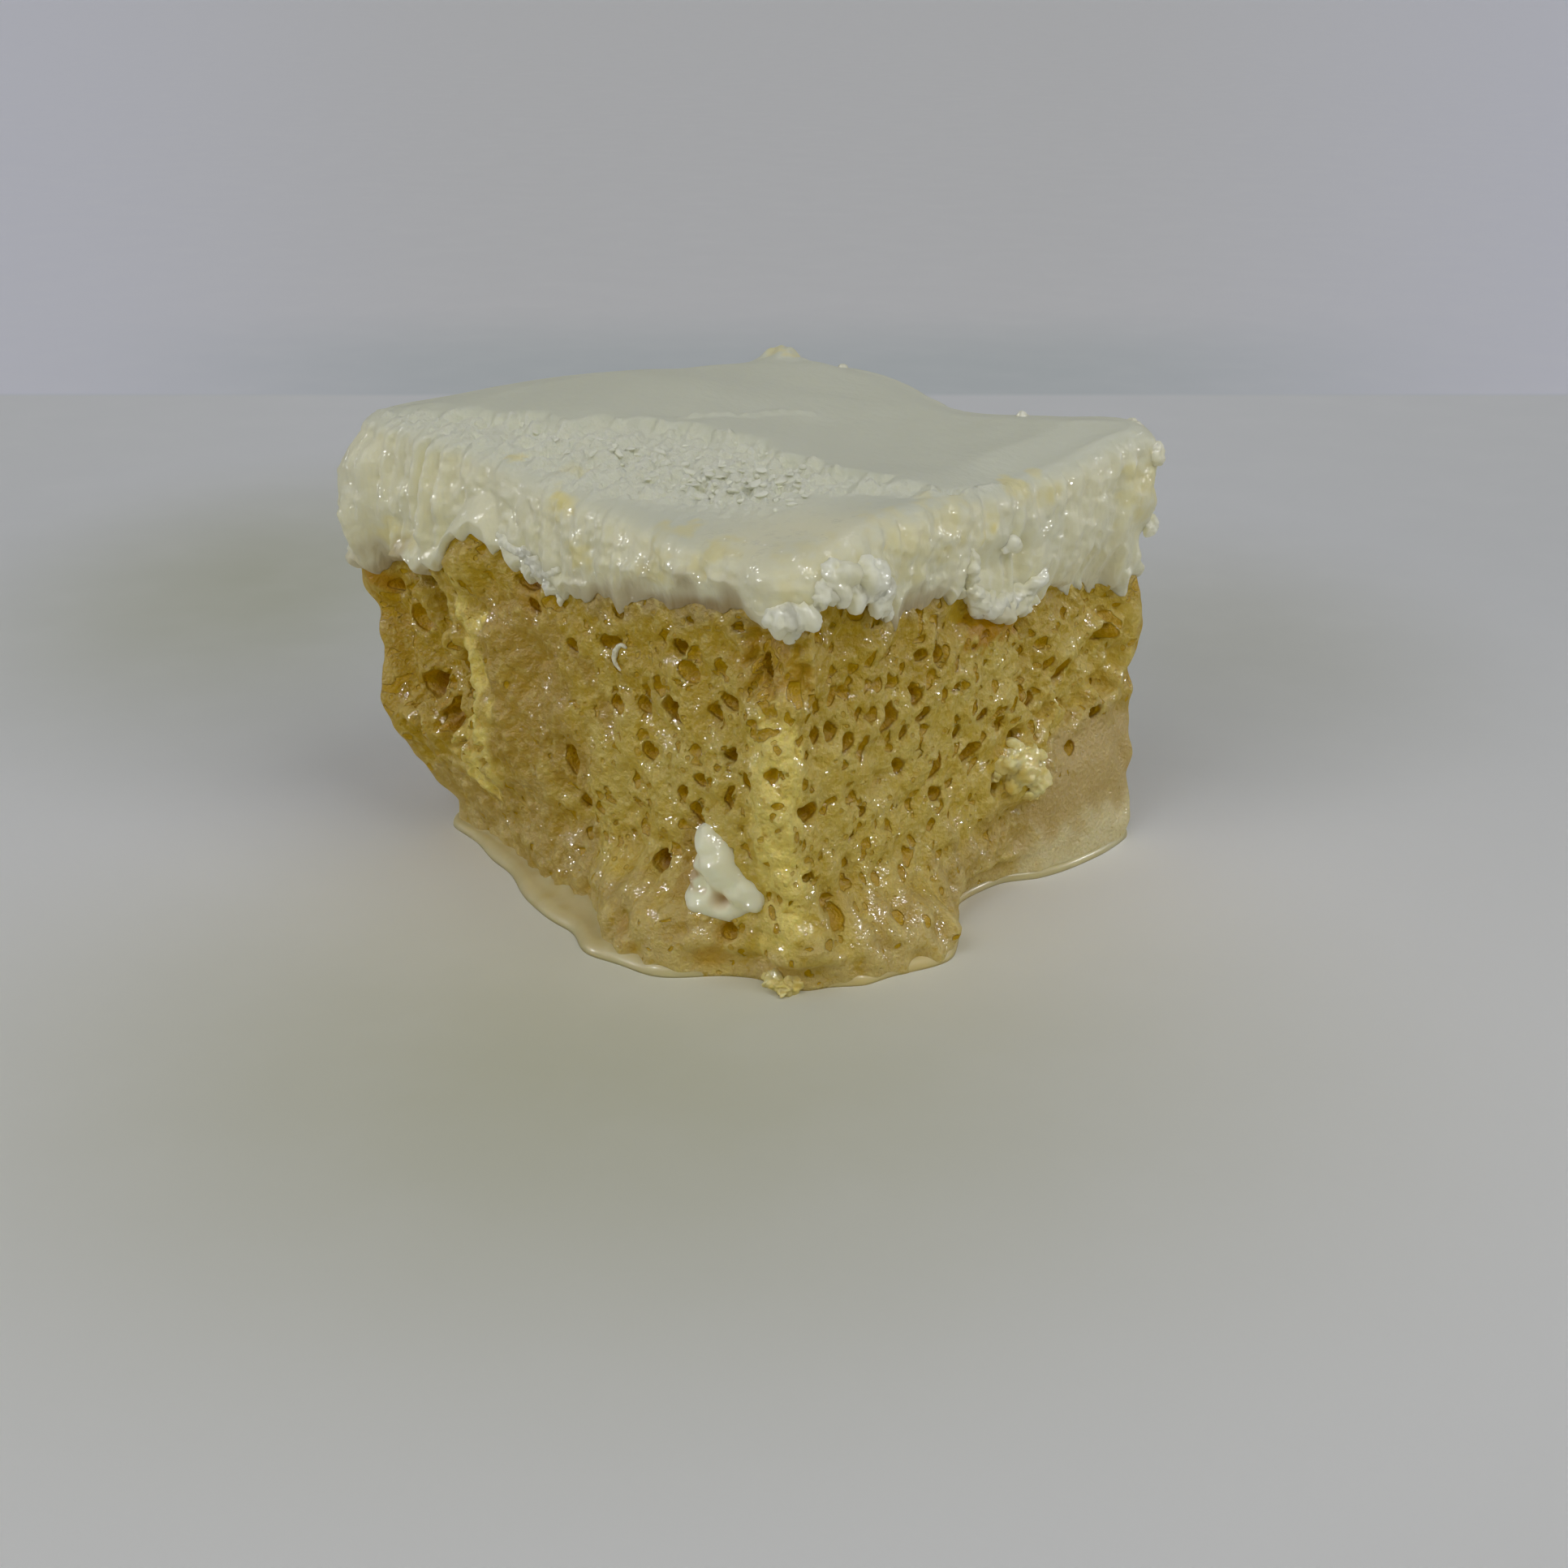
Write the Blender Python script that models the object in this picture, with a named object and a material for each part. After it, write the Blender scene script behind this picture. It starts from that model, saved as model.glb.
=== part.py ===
# A square portion of tres leches cake: a soaked sponge, a whipped frosting, the milk round its foot
# and a dab of frosting stuck low on one side. Lengths are millimetres until a mesh is made.
#
# A place round the cake is one number u: 0 to 1 along the +X side from the near corner (+X -Y) to the
# right corner, 1 to 2 along +Y to the back corner, 2 to 3 along -X, 3 to 4 along -Y to the near corner.
import bpy
import numpy as np

MM = 0.001
SIDE = 64.0  # the portion's nominal side
COLUMNS = 34  # mesh columns along each side
CORNER_TURN = 0.1  # share of a side over which a wall's facing turns, before and after a corner

# The sponge: corners (near, right, back, left) at six heights, from the foot to the layer joint.
SPONGE_LEVELS = (0.0, 8.0, 12.0, 16.0, 27.0, 36.0)
SPONGE_CORNERS = (
    ((31.2, -31.2), (30.8, 30.2), (-28.0, 30.6), (-31.5, -22.0)),
    ((31.4, -31.6), (31.0, 30.6), (-28.6, 31.2), (-32.5, -26.7)),
    ((31.6, -31.8), (31.9, 31.3), (-29.2, 31.6), (-34.6, -29.0)),
    ((31.8, -31.8), (31.6, 30.8), (-29.8, 31.8), (-36.8, -31.3)),
    ((31.8, -31.8), (33.0, 32.0), (-30.0, 32.2), (-37.0, -31.1)),
    ((31.4, -31.4), (31.6, 30.6), (-29.6, 32.6), (-39.0, -32.3)),
)
SPONGE_ROUNDING = 2.2
SPONGE_ROWS = 18
FOOT = 2.4  # the foot stands straight to this height
FOOT_FLARE = 1.6  # and spreads to the full wall over this much more
SPONGE_TOP = 38.0  # level of the joint under the middle of the frosting
TOP_SHARE = 0.84  # size of that level middle, as a share of the outline
RELIEF = ((9.0, 0.45, 3), (4.2, 0.22, 4))  # wavelength, height and seed of the crumb's unevenness
RELIEF_FADE = 2.5  # the unevenness dies out over this height at the foot and under the joint

# The frosting: its corners at the rim and at the lower edge.
FROSTING_RIM_CORNERS = ((31.4, -31.4), (32.2, 30.4), (-28.6, 33.0), (-35.8, -30.0))
FROSTING_LOW_CORNERS = ((31.8, -31.8), (31.8, 31.2), (-29.8, 33.4), (-38.8, -32.2))
FROSTING_ROUNDING = 3.0
FROSTING_ROWS = 4
FROSTING_OUT = 0.5  # the wall stands this far out of the line between its corners
FROSTING_BELLY = 0.8  # and this much more half-way down
SHOULDER = 3.4  # radius of the upper edge
SHOULDER_TURNS = (30.0, 60.0, 90.0)
TOP_CROWN = 0.9  # the spread top rises this far above its shoulder
TOP_RELIEF = ((17.0, 0.16, 21), (5.0, 0.1, 22))  # wavelength, height and seed of the spatula's waves
TOP_LUMP = (-23.0, 28.0, 3.6, 2.6)  # x, y, half width and height of the lump near the back corner
RIDGE_PITCH = 4.6  # knife ridges down the wall
RIDGE_HEIGHT = 0.28
LAYER_GAP = 0.4  # between the sponge's top and the frosting
LIP_GAP = 0.6  # between the sponge's wall and the lip of frosting that hangs over it
LIP_WIDTH = 1.5  # the lip's outer face stands at least this far out of the sponge's wall
LIP_LEAN = 0.7  # above the joint the wall may lean in by this much for each millimetre up
LIP_EDGE = 0.5  # height of the lip's rounded edge
PLAN_NOTCH = (1.38, 0.18, -6.0)  # the +Y side's hollow bend: place, half width and depth
SPONGE_NOTCH_SHARE = 0.6  # the sponge follows this share of it

# Curves round the cake: (u, value).
FROSTING_LOWER_EDGE = (
    (0.0, 40.5), (0.07, 41.7), (0.17, 40.8), (0.25, 38.8), (0.43, 38.2), (0.52, 34.1), (0.61, 33.7),
    (0.75, 34.5), (0.95, 33.0), (1.1, 33.5), (1.3, 34.5), (1.5, 35.5), (1.7, 34.5), (2.1, 36.0),
    (2.3, 35.0), (2.5, 36.5), (2.8, 35.2), (3.0, 34.4), (3.14, 36.1), (3.24, 37.0), (3.33, 42.2),
    (3.43, 40.3), (3.54, 38.2), (3.72, 39.3), (3.89, 41.0),
)
FROSTING_DROOP = (
    (0.0, 0.7), (0.08, 0.9), (0.14, 2.6), (0.2, 1.2), (0.45, 0.8), (0.52, 3.9), (0.6, 4.2), (0.68, 1.6),
    (0.9, 0.8), (1.3, 1.8), (1.6, 0.7), (2.2, 1.6), (2.6, 0.7), (3.05, 1.0), (3.22, 1.6), (3.33, 0.5),
    (3.5, 0.9), (3.8, 0.7),
)
FROSTING_TOP_EDGE = (
    (0.0, 47.6), (0.17, 48.8), (0.35, 49.3), (0.6, 49.0), (0.8, 50.0), (1.0, 51.8), (1.17, 51.2),
    (1.35, 50.8), (1.5, 51.2), (1.75, 52.2), (2.0, 51.2), (2.2, 51.8), (2.4, 52.8), (2.65, 53.2),
    (3.0, 52.6), (3.36, 51.3), (3.54, 49.5), (3.72, 48.0), (3.89, 47.5),
)
MILK_REACH = (
    (0.0, 1.0), (0.1, 3.1), (0.17, 3.6), (0.28, 5.8), (0.35, 5.2), (0.4, 4.2), (0.46, 2.2), (0.51, 1.1),
    (0.64, 1.0), (0.72, 1.2), (0.87, 1.4), (1.0, 1.0), (1.12, 2.6), (1.3, 2.2), (1.5, 5.2), (1.7, 2.6),
    (1.95, 3.6), (2.2, 2.4), (2.45, 5.0), (2.7, 2.8), (2.9, 3.0), (3.0, 1.5), (3.1, 1.8), (3.2, 3.5),
    (3.3, 3.9), (3.4, 5.2), (3.5, 6.2), (3.6, 5.6), (3.7, 4.4), (3.78, 3.6), (3.84, 2.2), (3.9, 1.1),
)
FOOT_INSET = (
    (0.0, 2.8), (0.06, 2.0), (0.12, 0.0), (0.4, 0.0), (0.48, 1.7), (0.62, 1.8), (0.7, 0.2), (1.2, 0.0),
    (1.75, 1.5), (2.0, 0.2), (2.6, 1.2), (2.9, 0.0), (3.8, 0.0), (3.89, 2.2),
)

# Broad swells and hollows of the walls: u, height, half width as a share of a side, half height, depth.
SPONGE_SWELLS = (
    (3.73, 2.0, 0.14, 7.0, 5.2),  # soaked toe low on the -Y side
    (3.47, 1.0, 0.18, 7.0, 2.2),
    (3.14, 27.0, 0.1, 11.0, -2.8),  # the torn-back end beside the left corner
    (3.33, 41.0, 0.06, 5.0, 1.6),  # sponge pulled up into the torn frosting
    (3.33, 22.0, 0.06, 12.0, 1.0),
    (0.2, 2.0, 0.16, 6.0, 2.4),  # soaked toe beside the near corner
    (0.77, 25.0, 0.14, 11.0, -2.2),  # the torn-back end beside the right corner
    (0.85, 6.0, 0.17, 8.0, 1.8),  # milky lobe below it
    (0.63, 14.3, 0.045, 3.4, 2.6),  # pale crumb
    (3.97, 24.0, 0.05, 9.0, 1.0),
    (0.03, 8.0, 0.04, 5.0, 1.2),
    (1.4, 14.0, 0.14, 9.0, -2.0),
    (1.75, 24.0, 0.12, 8.0, 1.2),
    (2.3, 22.0, 0.13, 10.0, -1.8),
    (2.7, 8.0, 0.14, 8.0, 1.5),
)
FROSTING_SWELLS = (
    (0.12, 42.8, 0.04, 2.6, 1.7),  # curled lumps beside the near corner
    (0.2, 42.0, 0.035, 3.0, 1.5),
    (0.55, 36.5, 0.07, 3.2, 1.3),  # the smear that hangs over the +X side
    (3.0, 45.0, 0.12, 7.0, 1.4),
    (1.0, 46.0, 0.1, 6.0, 1.2),
    (3.33, 44.0, 0.05, 3.0, -1.2),
)

# Pores: round pits in the crumb, none where it is smeared, milky or under the dab.
PORE_COUNT = 190
PORE_RADII = (1.2, 2.1)
PORE_SPACING = 1.25  # in sums of the two radii
PORE_DEPTH = 0.85  # in radii
PORE_HEIGHTS = (0.1, 0.96)  # lowest and highest pore, as shares of the sponge's height
PORE_SEED = 7
SMOOTH_PLACES = (
    (3.855, 12.0, 0.09, 8.5),
    (3.38, 18.0, 0.1, 9.0),
    (0.85, 6.0, 0.2, 10.0),
    (0.22, 2.0, 0.2, 5.0),
)

# The milk and the dab.
MILK_DEPTH = 1.8
MILK_GAP = 0.35
MILK_LIP = (0.45, 1.8)  # width of the rounded lip: as a share of the reach, and at most
MILK_TURNS = (35.0, 90.0)
DAB_PLACE = (3.855, 12.0)  # u and height
DAB_HALF = (3.6, 5.4)  # half width and half height
DAB_THICKNESS = 2.2
DAB_GAP = 0.6
DAB_RINGS = 9
DAB_COLUMNS = 22


def smooth_step(x):
    """0 below 0, 1 above 1, and 3x^2 - 2x^3 between."""
    x = np.clip(x, 0.0, 1.0)
    return x * x * (3.0 - 2.0 * x)


def round_curve(keys, u):
    """Value at u of the closed curve through the keys: Catmull-Rom cubics on uneven spacing."""
    at, value = np.array(keys).T
    at = np.concatenate([at[-2:] - 4.0, at, at[:2] + 4.0])
    value = np.concatenate([value[-2:], value, value[:2]])
    slope = np.zeros_like(value)
    slope[1:-1] = (value[2:] - value[:-2]) / (at[2:] - at[:-2])
    u = np.mod(u, 4.0)
    i = np.clip(np.searchsorted(at, u, side="right") - 1, 1, len(at) - 3)
    span = at[i + 1] - at[i]
    x = (u - at[i]) / span
    rise = 3.0 * x**2 - 2.0 * x**3
    ends = value[i] * (1.0 - rise) + value[i + 1] * rise
    return ends + span * (slope[i] * (x**3 - 2.0 * x**2 + x) + slope[i + 1] * (x**3 - x**2))


def ripple(points, wavelength, seed, waves=20):
    """Soft noise of about unit size: a sum of cosines of one wavelength in seeded random directions."""
    rng = np.random.default_rng(seed)
    ways = rng.normal(size=(waves, 3))
    ways *= 2.0 * np.pi / wavelength / np.linalg.norm(ways, axis=1)[:, None]
    phase = rng.uniform(0.0, 2.0 * np.pi, waves)
    return np.cos(points @ ways.T + phase).sum(axis=-1) * np.sqrt(2.0 / waves)


def along_side(u, place):
    """How far u is past a place, the short way round."""
    return np.mod(u - place + 2.0, 4.0) - 2.0


def swells(places, u, z):
    """Sum of bumps: each is its depth times a flat-topped bell of the distance along the side and up."""
    total = np.zeros(np.broadcast(u, z).shape)
    for place, height, half_u, half_z, depth in places:
        total += depth * np.exp(-((along_side(u, place) / half_u) ** 4) - ((z - height) / half_z) ** 4)
    return total


def outline(corners, u, rounding):
    """Points of a four-sided outline at u, each the mean of the outline over a stretch of +-rounding."""
    corners = np.broadcast_to(np.asarray(corners, float), (len(u), 4, 2))
    rows = np.arange(len(u))
    steps = np.linspace(-rounding, rounding, 9) / SIDE
    total = np.zeros((len(u), 2))
    for step in steps:
        v = np.mod(u + step, 4.0)
        i = np.minimum(v.astype(int), 3)
        share = (v - i)[:, None]
        total += corners[rows, i] * (1.0 - share) + corners[rows, (i + 1) % 4] * share
    return total / len(steps)


def outward(u):
    """Unit normals of the walls at u, turned smoothly over a short stretch each side of every corner."""
    share = u - np.floor(u)
    after = smooth_step((share + CORNER_TURN) / (2.0 * CORNER_TURN))
    before = smooth_step((share - 1.0 + CORNER_TURN) / (2.0 * CORNER_TURN))
    angle = np.pi / 2.0 * (np.floor(u) - 1.0 + after + before)
    return np.stack([np.cos(angle), np.sin(angle)], axis=-1)


def notch(u):
    """Depth of the hollow bend in the +Y side's outline: a bell."""
    place, half, depth = PLAN_NOTCH
    return depth * np.exp(-(((u - place) / half) ** 2))


def joint_height(u):
    """Height of the sponge's upper edge: the frosting's lower edge plus what the frosting hangs below it."""
    return round_curve(FROSTING_LOWER_EDGE, u) + round_curve(FROSTING_DROOP, u)


def sponge_wall(u, z):
    """Plan of the sponge's wall at height z: the corners' outline, moved out by swells and relief."""
    kept = np.maximum(z, FOOT)
    table = np.array(SPONGE_CORNERS).reshape(len(SPONGE_LEVELS), 8)
    corners = np.stack([np.interp(kept, SPONGE_LEVELS, table[:, k]) for k in range(8)], axis=-1)
    plan = outline(corners.reshape(len(u), 4, 2), u, SPONGE_ROUNDING)
    out = swells(SPONGE_SWELLS, u, kept) + SPONGE_NOTCH_SHARE * notch(u)
    out -= round_curve(FOOT_INSET, u) * smooth_step((FOOT + FOOT_FLARE - z) / FOOT_FLARE)
    fade = smooth_step((kept - FOOT) / RELIEF_FADE) * smooth_step((joint_height(u) - z) / RELIEF_FADE)
    for wavelength, height, seed in RELIEF:
        out += height * ripple(np.column_stack([plan, kept]), wavelength, seed) * fade
    return plan + outward(u) * out[:, None]


def ring(plan, z):
    """Points of a plan at height z, one number or one for each point."""
    return np.column_stack([plan, np.broadcast_to(z, len(plan))])


def pore_places():
    """Seeded pores on the wall, as rows of u, height and radius, clear of each other and smooth places."""
    rng = np.random.default_rng(PORE_SEED)
    found = []
    while len(found) < PORE_COUNT:
        u, share, radius = rng.uniform(0, 4), rng.uniform(*PORE_HEIGHTS), rng.uniform(*PORE_RADII)
        height = share * SPONGE_TOP
        apart = all(
            np.hypot(along_side(u, other_u) * SIDE, height - other_height) > PORE_SPACING * (radius + other)
            for other_u, other_height, other in found
        )
        smooth = any(
            abs(along_side(u, place)) < half_u and abs(height - level) < half_z
            for place, level, half_u, half_z in SMOOTH_PLACES
        )
        if apart and not smooth:
            found.append((u, height, radius))
    return np.array(found)


def pore_depth(points, centres, radii):
    """Depth of the pits: the far side of the deepest pore's sphere, counted from the wall."""
    depth = np.zeros(len(points))
    for centre, radius in zip(centres, radii):
        near = 1.0 - ((points - centre) ** 2).sum(axis=1) / radius**2
        depth = np.maximum(depth, PORE_DEPTH * radius * np.sqrt(np.clip(near, 0.0, 1.0)))
    return depth


def all_round():
    """The places of the mesh columns."""
    return np.arange(4 * COLUMNS) / COLUMNS


def sponge_rings():
    """Rings of the sponge's wall from the floor to the joint, and the smaller level ring of its top."""
    u = all_round()
    pores = pore_places()
    pore_z = pores[:, 1] * joint_height(pores[:, 0]) / SPONGE_TOP
    centres = ring(sponge_wall(pores[:, 0], pore_z), pore_z)
    rings = [ring(sponge_wall(u, np.full_like(u, z)), z) for z in (0.0, FOOT)]
    start, joint = FOOT + FOOT_FLARE, joint_height(u)
    for row in range(SPONGE_ROWS + 1):
        z = start + (joint - start) * row / SPONGE_ROWS
        plan = sponge_wall(u, z)
        if 0 < row < SPONGE_ROWS:
            plan -= outward(u) * pore_depth(ring(plan, z), centres, pores[:, 2])[:, None]
        rings.append(ring(plan, z))
    rings.append(ring(plan * TOP_SHARE, SPONGE_TOP))
    return rings


def frosting_wall(u, z, rim, lower):
    """Plan of the frosting's wall at height z: it leans out to its lower edge, with swells and ridges."""
    share = (rim - z) / (rim - lower)
    high, low = (outline(c, u, FROSTING_ROUNDING) for c in (FROSTING_RIM_CORNERS, FROSTING_LOW_CORNERS))
    plan = high + (low - high) * share[:, None]
    out = FROSTING_OUT + FROSTING_BELLY * np.sin(np.pi * share) + notch(u) + swells(FROSTING_SWELLS, u, z)
    wander = ripple(ring(plan, z * 0.2), 14.0, 9)
    ridges = np.cos(2.0 * np.pi * u * SIDE / RIDGE_PITCH + wander) * smooth_step(share * 6.0)
    return plan + outward(u) * (out + RIDGE_HEIGHT * ridges)[:, None]


def frosting_rings():
    """Rings of the frosting: out under it, down the lip's inside, up the wall and over the top edge."""
    u = all_round()
    normal = outward(u)
    joint, lower = joint_height(u), round_curve(FROSTING_LOWER_EDGE, u)
    rim = round_curve(FROSTING_TOP_EDGE, u)
    edge = sponge_wall(u, joint)
    rings = [ring(edge * TOP_SHARE, SPONGE_TOP + LAYER_GAP), ring(edge, joint + LAYER_GAP)]
    for share in (0.0, 0.5, 1.0):
        z = joint + (lower - joint) * share
        rings.append(ring(sponge_wall(u, z) + normal * LIP_GAP, z + LAYER_GAP * (1.0 - share)))
    start, foot = lower + LIP_EDGE, rim - SHOULDER
    for row in range(FROSTING_ROWS + 1):
        share = row / FROSTING_ROWS
        z = start + (foot - start) * share
        plan = frosting_wall(u, z, rim, lower)
        wanted = LIP_WIDTH - LIP_LEAN * np.maximum(z - joint - LAYER_GAP, 0.0)
        short = wanted - ((plan - sponge_wall(u, np.minimum(z, joint))) * normal).sum(axis=1)
        plan += normal * np.maximum(short, 0.0)[:, None]
        rings.append(ring(plan, z))
    for turn in np.radians(SHOULDER_TURNS):
        rings.append(ring(plan - normal * SHOULDER * (1.0 - np.cos(turn)), foot + SHOULDER * np.sin(turn)))
    return rings


def frosting_top(border):
    """The spread top: a Coons patch, its border's two ruled surfaces less the bilinear one, plus relief."""
    n = COLUMNS
    south, east, north, west = (border[np.arange(k * n, k * n + n + 1) % (4 * n)] for k in range(4))
    north, west = north[::-1], west[::-1]
    s, t = (x[..., None] for x in np.meshgrid(np.linspace(0, 1, n + 1), np.linspace(0, 1, n + 1)))
    points = (1 - t) * south[None] + t * north[None] + (1 - s) * west[:, None] + s * east[:, None]
    points -= (1 - t) * ((1 - s) * south[0] + s * south[-1]) + t * ((1 - s) * north[0] + s * north[-1])
    inside = smooth_step(np.minimum.reduce([s, 1 - s, t, 1 - t])[..., 0] * 6.0)
    x, y, wide, high = TOP_LUMP
    rise = TOP_CROWN + high * np.exp(-((points[..., 0] - x) ** 2 + (points[..., 1] - y) ** 2) / wide**2)
    for wavelength, height, seed in TOP_RELIEF:
        rise += height * ripple(points, wavelength, seed)
    points[..., 2] += rise * inside
    return points


def ring_faces(rows, n):
    """Quads between successive rings of n points, facing out when the rings climb and turn anticlockwise."""
    k = np.arange(n)
    quad = np.stack([k, (k + 1) % n, (k + 1) % n + n, k + n], axis=-1)
    return np.concatenate([quad + row * n for row in range(rows - 1)]).tolist()


def fan_faces(first, n, middle, up):
    """Triangles from a middle point to the ring of n points from first, facing up or down."""
    k = np.arange(n)
    start, end = (k, (k + 1) % n) if up else ((k + 1) % n, k)
    return np.stack([np.full(n, middle), first + start, first + end], axis=-1).tolist()


def patch_faces(first, n):
    """Quads of a patch whose border is the ring of 4n points from first, and whose inside comes after it."""
    index = np.full((n + 1, n + 1), -1)
    k = np.arange(n + 1)
    index[0, k] = first + k
    index[k, n] = first + n + k
    index[n, n - k] = first + 2 * n + k
    index[n - k, 0] = first + (3 * n + k) % (4 * n)
    inside = index < 0
    index[inside] = first + 4 * n + np.arange(inside.sum())
    quads = np.stack([index[:-1, :-1], index[:-1, 1:], index[1:, 1:], index[1:, :-1]], axis=-1)
    return quads.reshape(-1, 4).tolist(), inside


def add_part(name, parent, points, faces, colour, roughness):
    """Makes a smooth-shaded object with its own material from points in millimetres, about its middle."""
    points = np.asarray(points) * MM
    middle = (points.min(axis=0) + points.max(axis=0)) / 2.0
    mesh = bpy.data.meshes.new(name)
    mesh.from_pydata((points - middle).tolist(), [], faces)
    mesh.shade_smooth()
    material = bpy.data.materials.new(name)
    material.use_nodes = True
    shader = material.node_tree.nodes["Principled BSDF"]
    shader.inputs["Base Color"].default_value = (*colour, 1.0)
    shader.inputs["Roughness"].default_value = roughness
    mesh.materials.append(material)
    part = bpy.data.objects.new(name, mesh)
    part.location = middle
    part.parent = parent
    bpy.context.scene.collection.objects.link(part)


def make_sponge(cake):
    """The soaked sponge: rings from the floor up, closed by its flat foot and its level top."""
    rings = sponge_rings()
    n = 4 * COLUMNS
    total = len(rings) * n
    middles = [rings[0].mean(axis=0), rings[-1].mean(axis=0)]
    faces = ring_faces(len(rings), n) + fan_faces(0, n, total, False)
    faces += fan_faces(total - n, n, total + 1, True)
    add_part("sponge", cake, np.concatenate([*rings, middles]), faces, (0.72, 0.52, 0.16), 0.45)


def make_frosting(cake):
    """The whipped frosting. Its seat has the same triangles as the sponge's top, so that they stay apart."""
    rings = frosting_rings()
    n = 4 * COLUMNS
    seat = [[k, (k + 1) % n, n + k] for k in range(n)]
    seat += [[(k + 1) % n, n + (k + 1) % n, n + k] for k in range(n)]
    top_faces, inside = patch_faces((len(rings) - 1) * n, COLUMNS)
    points = np.concatenate([*rings, frosting_top(rings[-1])[inside], [rings[0].mean(axis=0)]])
    faces = seat + ring_faces(len(rings), n)[n:] + fan_faces(0, n, len(points) - 1, False) + top_faces
    add_part("frosting", cake, points, faces, (0.86, 0.85, 0.74), 0.35)


def make_milk(cake):
    """The run-out milk: a closed ring round the foot, with a rounded lip."""
    u = all_round()
    normal = outward(u)
    inner = sponge_wall(u, np.zeros_like(u)) + normal * MILK_GAP
    reach = np.maximum(round_curve(MILK_REACH, u), 1.0)
    lip = np.minimum(reach * MILK_LIP[0], MILK_LIP[1])
    depth = MILK_DEPTH * np.minimum(0.45 + reach / 6.0, 1.0)
    section = [(0.0 * u, 0.0), (reach, 0.0)]
    for turn in np.radians(MILK_TURNS):
        section.append((reach - lip * (1.0 - np.cos(turn)), depth * np.sin(turn)))
    section += [(0.0 * u, depth * 1.05), section[0]]
    rings = [ring(inner + normal * out[:, None], z) for out, z in section]
    n = 4 * COLUMNS
    faces = [[k % (n * (len(rings) - 1)) for k in face] for face in ring_faces(len(rings), n)]
    add_part("milk", cake, np.concatenate(rings[:-1]), faces, (0.76, 0.68, 0.42), 0.2)


def make_dab(cake):
    """The dab: rings out from the middle of its back, which follows the sponge, and in over its front."""
    angle = np.arange(DAB_COLUMNS) / DAB_COLUMNS * 2.0 * np.pi
    width = 1.0 + 0.24 * np.cos(2.0 * angle + 0.6) + 0.14 * np.cos(3.0 * angle + 2.0)
    steps = [(k, 0.0) for k in range(1, DAB_RINGS + 1)] + [(k, 1.0) for k in range(DAB_RINGS - 1, 0, -1)]
    rings = []
    for step, front in steps:
        share = np.sin(np.pi / 2.0 * step / DAB_RINGS)
        across = DAB_HALF[0] * share * width * np.cos(angle)
        up = DAB_HALF[1] * share * width * np.sin(angle)
        u, z = DAB_PLACE[0] + across / SIDE, DAB_PLACE[1] + up
        lumps = 1.0 + 0.3 * np.cos(2.1 * up + 0.7 * across) * np.cos(1.3 * across)
        out = DAB_GAP + front * DAB_THICKNESS * np.sqrt(1.0 - share**2) * lumps
        rings.append(ring(sponge_wall(u, z) + outward(u) * out[:, None], z))
    total = len(rings) * DAB_COLUMNS
    middles = [rings[0].mean(axis=0), rings[-1].mean(axis=0)]
    faces = ring_faces(len(rings), DAB_COLUMNS) + fan_faces(0, DAB_COLUMNS, total, False)
    faces += fan_faces(total - DAB_COLUMNS, DAB_COLUMNS, total + 1, True)
    add_part("cream_dab", cake, np.concatenate([*rings, middles]), faces, (0.9, 0.88, 0.8), 0.3)


def main():
    """Clears the scene and makes the four parts under one empty."""
    for old in list(bpy.data.objects):
        bpy.data.objects.remove(old)
    cake = bpy.data.objects.new("cake", None)
    bpy.context.scene.collection.objects.link(cake)
    make_sponge(cake)
    make_frosting(cake)
    make_milk(cake)
    make_dab(cake)


main()
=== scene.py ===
import bpy
import numpy as np
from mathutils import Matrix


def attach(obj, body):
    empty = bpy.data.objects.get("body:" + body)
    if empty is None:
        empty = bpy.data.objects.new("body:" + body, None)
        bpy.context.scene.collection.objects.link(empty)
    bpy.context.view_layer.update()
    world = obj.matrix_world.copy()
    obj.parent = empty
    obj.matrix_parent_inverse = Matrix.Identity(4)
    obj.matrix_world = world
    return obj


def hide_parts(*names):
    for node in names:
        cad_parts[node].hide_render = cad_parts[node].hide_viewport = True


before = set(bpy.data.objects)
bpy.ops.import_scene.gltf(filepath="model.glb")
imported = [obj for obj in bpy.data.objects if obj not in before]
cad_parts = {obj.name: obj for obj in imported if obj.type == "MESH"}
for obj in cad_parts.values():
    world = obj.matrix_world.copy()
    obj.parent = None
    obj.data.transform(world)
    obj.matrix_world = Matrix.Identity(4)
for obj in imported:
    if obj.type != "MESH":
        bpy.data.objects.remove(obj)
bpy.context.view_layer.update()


# The table and the light: a pale table that runs far back, painted darker away from the camera as a
# painted fall-off of light and with painted shadows round the cake; a soft light from behind the camera,
# the room's own light, and small bright ones far off that put the sparks on what is wet.
TABLE_HALF = 4.0  # metres
TABLE_COLOUR = (1.0, 1.0, 1.0)
# Painted fall-off of light: the table is painted darker from near the camera to behind the cake.
TABLE_FALLOFF_SHADE_COLOUR = (0.83, 0.84, 0.86)
TABLE_BAND_COLOUR = (0.70, 0.74, 0.76)
TABLE_FAR_COLOUR = (0.83, 0.83, 0.85)
TABLE_SIDE_COLOUR = (0.88, 0.885, 0.98)
TABLE_FALLOFF_SHADE = (-0.14, 0.16)  # metres behind the middle, where its tone starts and stops turning to the next
TABLE_BAND = (0.276, 0.282)
TABLE_FAR = (0.306, 0.42)
TABLE_SIDE = (0.1, 0.36)  # the same, as metres aside for each metre from the camera
CAMERA_AWAY = 0.262  # metres from the camera to the middle along the table
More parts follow.
